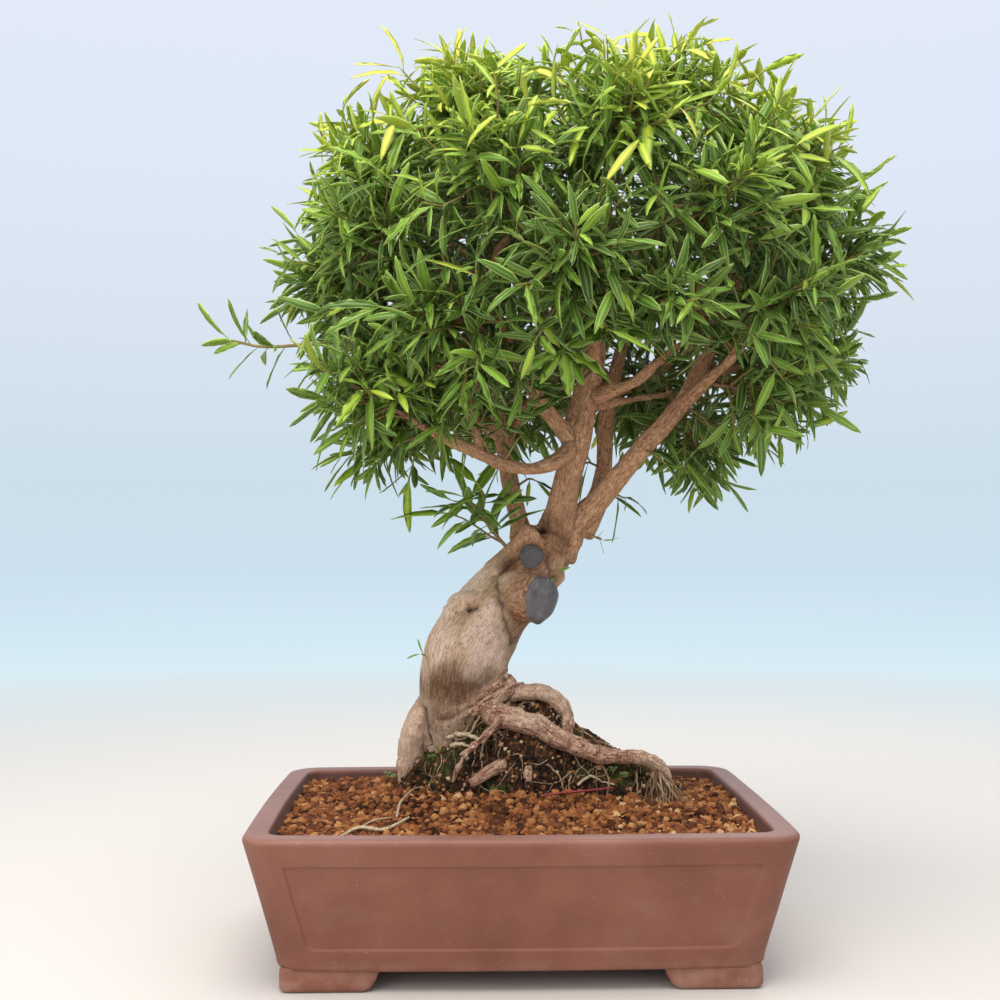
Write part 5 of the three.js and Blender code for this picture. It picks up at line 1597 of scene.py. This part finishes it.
def make_inner_shoots(tufts, kit):
    draw = random_source(5)
    springs = limb_points()
    places = []
    for _, base, along in tufts:
        line = SmoothLine(bare_branch(base, along, springs))
        places += [(line.point(t), line.tangent(t)) for t in (0.3, 0.45, 0.6, 0.75, 0.9)]
    places += [(point, tangent) for _, point, tangent, radius in springs if radius < 6]
    places += [place for place in places if -70 < place[0][0] < 60 and 450 < place[0][2] < 570] * 2
    clear = INNER_CLEAR
    greenery = Greenery(plain=True)
    for _ in range(INNER_SHOOTS):
        spot, along = places[int(draw() * len(places))]
        seen = spot[1] < clear["front"] and clear["left"] < spot[0] < clear["right"]
        if seen and spot[2] < clear["below"]:
            continue
        heading = leaning(along, math.radians(45 + 40 * draw()), 6.28 * draw())
        heading = unit(heading + vec(0, 0, 0.3))
        tip = spot + heading * INNER_LENGTH * (0.7 + 0.8 * draw())
        way = [spot, (spot + tip) / 2 + along * 1.5, tip]
        add_curved_shoot(greenery, way, 1.0, 0.3, INNER_LEAVES, INNER_LEAF_LENGTH, draw, INNER_PAINTED_SHADE)
    greenery.kept("inner_shoots", kit, "leaf_green")


def make_single_shoot(shoot, kit):
    """A single long shoot with leaves all along it."""
    seed, length = shoot["seed"], shoot["length"]
    draw, shade = random_source(seed), random_source(seed + 500)
    corners = solid_points(shoot["name"])
    to_front = 0, -1.2, 0.1
    greenery = Greenery()
    line = greenery.add_line(
        shoot["way"], [s / 14 for s in range(15)],
        lambda t: shoot["radius"] * (1 - 0.45 * t) if t < 1 else 0.1, lambda t: 0.2 + 0.5 * t,
    )
    for way in shoot.get("side_shoots", ()):
        add_curved_shoot(greenery, way, 1.1, 0.12, shoot["side_leaves"], length * 1.1, shade, 1.1, to_front)
    for _ in range(shoot.get("spare_leaves", 0)):
        t = 0.45 + 0.53 * shade()
        loose_leaf(greenery, line.tangent(t), line.point(t), math.radians(62), 6.28 * shade(), length * 1.15,
                   0.25 + 0.3 * shade(), shade, to_front)
    for j in range(shoot["leaves"]):
        part = (j + 1) / shoot["leaves"]
        t = 0.3 + 0.69 * part
        open_angle = math.radians(72 - 42 * part + 12 * (draw() - 0.5))
        size = length * (0.85 + 0.3 * draw())
        tone = 0.22 + 0.16 * part + 0.12 * (shade() - 0.5)
        placed_leaf(greenery, line.tangent(t), line.point(t), open_angle, j * GOLDEN + seed, size, 0.14, tone,
                    int(shade() * 3), corners)
    greenery.kept(shoot["name"] + "_leaves", kit, "leaf_green", shoot["name"])


# Soil


def soil_level(x, y):
    return SOIL_EDGE + 19 * np.exp(-((x / 130) ** 2) - ((y - 45) / 75) ** 2)


def mound_height(x, share):
    run = np.clip((x - BALL_FALL_FROM) / (BALL_X + BALL_HALF_X - BALL_FALL_FROM), 0, 1)
    left_run = np.clip((BALL_X - BALL_HALF_X * 0.55 - x) / (BALL_HALF_X * 0.45), 0, 1)
    top = BALL_CREST - (BALL_CREST - BALL_CREST_AT_END) * np.sqrt(run) - 22 * left_run
    foot = SOIL_EDGE + 8
    return foot + (top - foot) * (1 - share**2.6) ** 0.62


def mound_ring(share, around):
    angle = 2 * math.pi * np.arange(around) / around
    uneven = 1 + 0.05 * np.sin(5 * angle + 4 * share) + 0.04 * np.sin(9 * angle - 3 * share)
    c, s = np.cos(angle), np.sin(angle)
    square = (c**4 + s**4) ** -0.2
    x = BALL_X + (BALL_HALF_X * share * uneven * square) * c
    y = BALL_Y + (BALL_HALF_Y * share * uneven * square) * s
    return x, y, angle


def make_root_ball(finish):
    around = 200
    rings = []
    for share, level in ((0.72, BALL_SUNK_TO), (0.97, BALL_SUNK_TO + 26), (1.0, 96)):
        x, y, _ = mound_ring(share, around)
        rings.append(np.stack([x, y, np.full(around, float(level))], 1))
    for share in (1, 0.995, 0.985, 0.97, 0.95, 0.92, 0.89, 0.85, *np.linspace(0.8, 0.04, 16)):
        x, y, angle = mound_ring(share, around)
        z = mound_height(x, share) + 2.2 * np.sin(7 * angle + 9 * share) * share
        rings.append(np.stack([x, y, z], 1))
    points, faces = skin_over(rings)
    lumps = soft_noise(points, 13, 1) * 2.6 + soft_noise(points, 5.5, 2) * 1.5
    lumps = lumps + soft_noise(points, 2.6, 3) * 0.7
    out = (points - [BALL_X, BALL_Y, 110]) / [BALL_HALF_X, BALL_HALF_Y, 60]
    out = out / np.maximum(np.linalg.norm(out, axis=1), 1e-9)[:, None]
    points = points + out * (lumps * smooth_step(88, 100, points[:, 2]))[:, None]
    made = finished(closed_object("old_root_ball", points, faces), finish)
    moss = moss_share(points)
    add_attribute(made, "moss", moss)
    keep(made, "dark_soil", "root_ball")
    return points, faces, moss


# Where moss grows on the front of the root ball: x, z, half its width, half its height
MOSS_PATCHES = [
    (-54, 137, 20, 17), (84, 124, 34, 9), (-18, 116, 12, 7), (52, 158, 22, 10), (-30, 156, 10, 6),
]


def moss_share(points):
    share = smooth_step(0.12, 0.4, soft_noise(points, 20, 6)) * (points[:, 1] > BALL_Y)
    for place in MOSS_PATCHES:
        share = np.maximum(share, patch(points, place, 1.25, 0.6, 7, 16, 0.5) * (points[:, 1] <= BALL_Y + 10))
    return share * smooth_step(98, 106, points[:, 2])


def crumb_shape(seed, flat, corners=15):
    """A grain of fired clay: an uneven lump with a few dozen faces, about 1 across."""
    work = bmesh.new()
    draw = random_source(seed)
    for k in range(corners):
        z = 1 - 2 * (k + 0.5) / corners
        ring = math.sqrt(1 - z * z)
        reach = 0.5 * (0.78 + 0.38 * draw())
        angle = k * GOLDEN + draw()
        x, y = reach * ring * math.cos(angle), reach * ring * math.sin(angle)
        work.verts.new((x, y * flat, reach * z * flat))
    bmesh.ops.convex_hull(work, input=work.verts)
    work.verts.index_update()
    points = [tuple(v.co) for v in work.verts]
    faces = [tuple(v.index for v in face.verts) for face in work.faces]
    work.free()
    return points, faces, {}


def moss_shape(seed):
    """A tiny cushion of moss: pointed blades that spread from one spot, about 1 tall."""
    draw = random_source(seed)
    points, faces = [], []
    for blade in range(5):
        lean = leaning(vec(0, 0, 1), 0.15 + 0.95 * draw(), blade * GOLDEN)
        side = leaning(lean, math.pi / 2, 0) * 0.07
        other = np.cross(lean, side)
        root = lean * 0.02 - vec(0, 0, 0.12)
        points += [root + side, root - side * 0.5 + other * 0.87, root - side * 0.5 - other * 0.87]
        points.append(lean * (0.6 + 0.5 * draw()))
        a, b, c, d = range(4 * blade, 4 * blade + 4)
        faces += [(a, b, d), (b, c, d), (c, a, d), (c, b, a)]
    return points, faces, {}


def strew(name, slot, surface, share, kit, spacing, density, smallest, largest, sink=0.0, **more):
    """Pieces strewn over the faces of a surface, more of them where the share is high. Sizes in mm."""
    bed = mesh_object(name, *surface)
    add_attribute(bed, "share", share)
    sizes = {"Spacing": spacing * MM, "Smallest": smallest * MM, "Largest": largest * MM, "Sink": sink * MM}
    keep(grow(bed, **kit, **sizes, Density=density, **more), slot)


# Thicker strands on the front of the root ball: points, radius, tint
STRANDS = [
    ([(-3, 20, 178), (-12, 8, 166), (-20, 0, 156), (-32, -3, 146), (-42, -2, 138)], 2.4, 0.8),
    ([(-24, 12, 172), (-30, 2, 162), (-36, -2, 152), (-46, 0, 148)], 1.7, 0.6),
    ([(-64, 24, 152), (-52, 5, 150), (-44, 0, 153), (-34, -1, 152), (-24, 0, 147)], 3.2, 0.95),
    ([(-50, 6, 144), (-42, -1, 146), (-33, -3, 143)], 2.2, 0.9),
    ([(-10, 10, 160), (-22, 0, 150), (-26, -3, 138), (-25, -4, 128)], 1.2, 0.75),
    ([(60, 2, 136), (68, -4, 128), (72, -6, 118), (70, -8, 108)], 1.4, 0.55),
    ([(86, 2, 134), (93, -5, 126), (94, -7, 114), (93, -8, 104)], 1.6, 0.5),
    ([(24, -3, 132), (33, -5, 124), (36, -6, 114), (38, -7, 106)], 0.9, 0.7),
    ([(48, -3, 116), (58, -8, 122), (66, -9, 118), (76, -9, 116)], 1.3, 0.85),
]
# Bits that lie on the grains: points, radius
LITTER = {
    "red_stalk": ([(17.9, -16, 111), (33.3, -13, 112.5), (53.3, -7, 113), (75.5, 2, 113.5)], 1),
    "dead_root": ([(-124, -98, 100), (-113, -76, 101), (-95, -81, 100.8), (-79, -52, 103)], 1.6),
    "dry_stalk": ([(-88, -49.5, 103), (-86.5, -15, 107.4), (-79, 9, 111.6)], 1.1),
    "dead_root_end": ([(-113, -76, 101), (-104, -60, 102.6), (-92, -52, 103)], 0.7),
}
ROOTLETS, ROOTLET_STEPS, ROOTLET_STRIDE = 260, 6, 6.5
FRAYED_ROOTLETS, FRAYED_END = 38, vec(112, 3, 128)  # where the long root ends in a tassel
# Seedlings on the root ball and at its foot: x and z
WEEDS = [
    (-58, 140), (-62, 134), (84, 120), (74, 123), (-17, 112), (-96, 119), (-100, 122), (-30, 118), (12, 152),
]


def lies_on(points, place, lift):
    """The point of a surface nearest to a place, lifted off it a little."""
    near = points[int(((points - place) ** 2).sum(1).argmin())]
    return near + unit(near - vec(BALL_X, BALL_Y, 90)) * lift


def make_fine_roots(points, kit):
    """Rootlets that wander over the root ball, thicker strands and the frayed end of the long root."""
    draw = random_source(41)
    greenery = Greenery()
    starts = points[(points[:, 2] > 108) & (points[:, 1] < 70)]
    for _ in range(ROOTLETS):
        place = starts[int(draw() * len(starts))]
        heading = unit(vec(draw() - 0.5, 0.3 * (draw() - 0.5), -0.15 - 0.5 * draw()))
        way = [lies_on(points, place, 0.3)]
        for _ in range(ROOTLET_STEPS):
            heading = unit(heading + 0.9 * vec(draw() - 0.5, draw() - 0.5, draw() - 0.6))
            place = lies_on(points, place + heading * ROOTLET_STRIDE, 0.4 + 2.4 * draw())
            if place[2] < 99:
                break
            way.append(place)
        if len(way) > 2:
            radius, tint = 0.35 + 0.55 * draw() ** 2, draw()
            shares = np.linspace(0, 1, 3 * len(way))
            greenery.add_line(way, shares, lambda t: radius * (1 - 0.7 * t), lambda t: tint)
    shares = np.linspace(0, 1, 7)
    for _ in range(FRAYED_ROOTLETS):
        spot = FRAYED_END + [12 * (draw() - 0.6), -4 * draw(), -8 * draw()]
        foot = vec(spot[0] - 14 + 34 * draw(), spot[1] - 12 * draw(), 101.5)
        middle = (spot + foot) / 2 + [10 * (draw() - 0.45), -6 * draw(), 7 * draw()]
        tint, size = 0.1 + 0.8 * draw(), 0.35 + 0.65 * draw()
        greenery.add_line([spot, middle, foot], shares, lambda t: (1.1 - 0.7 * t) * size, lambda t: tint)
    for way, radius, tint in STRANDS:
        line = SmoothLine(way)
        shares = np.linspace(0, 1, 18)
        places = []
        for place in (line.point(t) for t in shares):
            off = ((points[:, [0, 2]] - place[[0, 2]]) ** 2 + 9.0 * (points[:, 1:2] > 42)).sum(1)
            place[1] = points[int(off.argmin())][1] - radius * 0.6 - 1.2
            places.append(place + [0.9 * (draw() - 0.5), 0.8 * (draw() - 0.5), 0.9 * (draw() - 0.5)])
        radii = [radius * (1 - 0.55 * t) * (0.85 + 0.3 * draw()) for t in shares]
        greenery.add_twig(places, radii, [tint] * len(shares))
    greenery.kept("fine_roots", kit, "bark")


def make_litter(kit, red_finish):
    for name, (way, radius) in LITTER.items():
        greenery = Greenery()
        draw = random_source(len(name))
        greenery.add_line(
            way, np.linspace(0, 1, 14),
            lambda t: radius * (0.35 + 0.65 * math.sin(math.pi * (0.12 + 0.8 * t))) * (0.85 + 0.3 * draw()),
            lambda t: 0.9,
        )
        greenery.kept(name, {**kit, "Twig": red_finish} if name == "red_stalk" else kit, "bark")


def make_weeds(points, kit):
    """Seedlings with three round leaves each."""
    draw = random_source(19)
    greenery = Greenery()
    flat = points[points[:, 1] < BALL_Y]
    for x, z in WEEDS:
        root = flat[int(((flat[:, [0, 2]] - [x, z]) ** 2).sum(1).argmin())]
        if abs(root[0] - x) > 6:
            root = vec(x, 80, soil_level(x, 80.0) + 1.5)
        for _ in range(3):
            heading = unit(vec(draw() - 0.5, -0.3 - 0.6 * draw(), 0.5 + 0.7 * draw()))
            top = root + heading * (2 + 4 * draw())
            greenery.add_twig([root, (root + top) / 2 + [0.4, -0.4, 0], top], [0.3, 0.28, 0.25], [1, 1, 1])
            turn = 6 * draw()
            for leaf in range(3):
                angle = turn + leaf * 2.1
                along = unit(vec(math.cos(angle), -0.25 + 0.75 * math.sin(angle), 0.25))
                up = unit(vec(0, -0.55, 1) - along * (along[2] - 0.55 * along[1]))
                greenery.add_leaf(top, along, up, 2.4 + 1.8 * draw(), 0.1, 0.1 + 0.2 * draw(), 0, ROUND)
    greenery.kept("seedlings", kit, "leaf_green")


def make_grains(kit, crumbs, small_crumbs):
    """The loose grains on top: a close layer, each a little sunk among its neighbours."""
    half_x, half_y = LENGTH / 2 - LIP_WIDTH - 2.5, DEPTH / 2 - LIP_WIDTH - 3.5
    columns, lines = 120, 90
    grid = np.meshgrid(np.linspace(-half_x, half_x, columns), np.linspace(-half_y, half_y, lines))
    x, y = (a.ravel() for a in grid)
    flat = np.stack([x, y, np.zeros(len(x))], 1)
    z = soil_level(x, y) + soft_noise(flat, 30, 7) * 1.3 + soft_noise(flat, 9, 8) * 0.9
    starts = [r * columns + c for r in range(lines - 1) for c in range(columns - 1)]
    surface = np.stack([x, y, z], 1), [(a, a + 1, a + columns + 1, a + columns) for a in starts]
    off_x, off_y = (x - BALL_X) / BALL_HALF_X, (y - BALL_Y) / BALL_HALF_Y
    angle = np.arctan2(off_y, off_x)
    square = (np.cos(angle) ** 4 + np.sin(angle) ** 4) ** -0.2
    clear = smooth_step(0.93, 1.0, np.hypot(off_x, off_y) / square)
    clear *= np.hypot(np.maximum(np.abs(x) - half_x + 9, 0), np.maximum(np.abs(y) - half_y + 9, 0)) < 9
    for name, pieces, *sizes, seed in (
        ("clay_grains", crumbs, 4.5, 90000.0, 5.2, 9.6, -0.9, 4),
        ("small_grains", small_crumbs, 2.5, 260000.0, 2.8, 5.0, -0.4, 8),
    ):
        strew(name, "clay_grains", surface, clear, {**kit, "Pieces": pieces}, *sizes, Seed=seed)


# Larger, paler grains that stand out: x and y on the bed
PALE_GRAINS = [
    (-61, -48), (-54, -36), (-40, -30), (-47, -76), (-32, -43), (-37, -61), (17, 0), (30, -3), (40, -2),
    (25, 3), (9, -62), (14, -79), (-128, -70), (-160, -66), (-158, 48), (129, 2), (-16, -4), (-44, -8),
    (-35, -6), (60, -42), (87, -64), (-102, -32), (-5, -20), (50, 0), (4, -6),
]


def make_pale_grains(finish):
    draw = random_source(51)
    parts, tints = [], []
    for number, (x, y) in enumerate(PALE_GRAINS):
        points, faces, _ = crumb_shape(60 + number, 0.8)
        middle = [x, y, float(soil_level(x, y)) + 2.2]
        parts.append((np.array(points) * (6.5 + 3.5 * draw()) + middle, faces))
        tints += [0.86 + 0.14 * draw()] * len(points)
    made = finished(closed_object("pale_grains", *joined_parts(parts), smooth=False), finish)
    add_attribute(made, "tint", tints)
    keep(made, "clay_grains")


# Stage


def linked(name, data, place, way):
    """A lamp or camera at a place in mm, looking along a way."""
    made = bpy.data.objects.new(name, data)
    bpy.context.scene.collection.objects.link(made)
    made.location = in_frame(place)
    made.rotation_euler = Vector(way).to_track_quat("-Z", "Y").to_euler()
    return made


def make_stage():
    """A pale floor that fades into the pale room, soft light from above, and the camera."""
    f = Finish("studio_floor")
    away = f.node("ShaderNodeVectorMath", {0: f.coords}, "Value", operation="LENGTH")
    paper, clear = f.surface((0.62, 0.575, 0.525, 1), 0.9), f.node("ShaderNodeBsdfTransparent")
    ring = [(2400 * math.cos(a), 2400 * math.sin(a), -0.3) for a in np.arange(64) * math.pi / 32]
    floor = mesh_object("studio_floor", ring, [tuple(range(64))], smooth=False)
    finished(floor, f.done(f.shared(f.between(away, 0.7, 2.2), paper, clear)))

    world = bpy.data.worlds.new("studio_room")
    world.use_nodes = True
    room = Nodes(world.node_tree)
    height = room.axis(room.node("ShaderNodeTexCoord", out="Generated"), "Z")
    tint = room.ramp(
        room.between(height, -0.35, 0.45), 0.0, "f8f0e4", 0.19, "f3f5f3", 0.27, "e6f3f7",
        0.34, "d4eaf5", 0.4, "cde2ef", 0.49, "ccdfeb", 0.66, "dbe5f2",
        0.8, "e0e9f8", 1.0, "e6ecf7",
    )
    sky = room.node("ShaderNodeBackground", {"Color": tint, "Strength": 1.0})
    room.node("ShaderNodeOutputWorld", {"Surface": sky}, None)
    bpy.context.scene.world = world

    for name, place, size, power in (
        ("lamp_above", (-200, -600, 1800), 1300, 31),
        ("lamp_left", (-900, -1500, 900), 900, 8),
        ("lamp_back", (500, 1300, 1500), 1000, 9),
    ):
        light = bpy.data.lights.new(name, "AREA")
        light.size, light.energy, light.color = size * MM, power, (1.0, 0.965, 0.91)
        linked(name, light, place, in_frame((20, 0, 330)) - in_frame(place))

    camera = bpy.data.cameras.new("camera")
    camera.sensor_width, camera.lens = 36, 36 * FOCAL / 1000
    bpy.context.scene.camera = linked("camera", camera, CAMERA, TOWARDS)
    bpy.context.scene.view_settings.view_transform = "Standard"


# Assembly

make_tray(stoneware_finish())
mesh_plastic = mesh_plastic_finish()
for name in ("drain_mesh_left", "drain_mesh_right"):
    finished(frame["nodes"][name], mesh_plastic)
finished(frame["nodes"]["grain_bed"], bed_finish())
tufts = settled_tufts()
make_wood(tufts, bark_finish())
paste = paste_finish()
for name, stub in STUBS.items():
    make_paste("cut_paste_" + name, stub, paste)
ball_points, ball_faces, moss = make_root_ball(dark_soil_finish())
crumbs = shape_collection("crumbs", [crumb_shape(seed, 0.75 + 0.05 * seed) for seed in range(1, 6)])
small_crumbs = shape_collection("small_crumbs", [crumb_shape(seed, 0.9, 8) for seed in range(11, 16)])
mosses = shape_collection("mosses", [moss_shape(seed) for seed in range(21, 25)])
clay = grains_finish()
strewn = {"tree": scatter_tree(), "Finish": clay}
make_grains(strewn, crumbs, small_crumbs)
make_pale_grains(clay)
ball, above = (ball_points, ball_faces), smooth_step(94, 99, ball_points[:, 2])
soil_kit = {**strewn, "Pieces": small_crumbs, "Finish": crumbs_finish()}
moss_kit = {**strewn, "Pieces": mosses, "Finish": moss_finish()}
crumbly = above * (1 - 0.5 * moss)
strew("root_ball_crumbs", "dark_soil", ball, crumbly, soil_kit, 2.5, 200000.0, 1.6, 5.6, Seed=9)
strew("moss_cushions", "leaf_green", ball, above * moss, moss_kit, 1.7, 330000.0, 1.8, 4.2, Tilt=0.5, Seed=2)
shapes = leaf_shapes()
leafy = {"tree": shoots_tree(), "Shapes": shapes, "Leaf": leaf_finish(), "Twig": twig_finish()}
root_tan = {**leafy, "Twig": rootlet_finish()}
make_fine_roots(ball_points, root_tan)
make_litter(root_tan, red_stalk_finish())
make_weeds(ball_points, leafy)
for number, base, along in tufts:
    make_tuft(number, base, along, leafy)
for shoot in SINGLE_SHOOTS:
    make_single_shoot(shoot, leafy)
make_crown_shoots(tufts, leafy)
make_inner_shoots(tufts, leafy)
make_hanging_shoots(leafy)
for collection in (crumbs, small_crumbs, mosses, shapes):
    forget(collection)
make_stage()
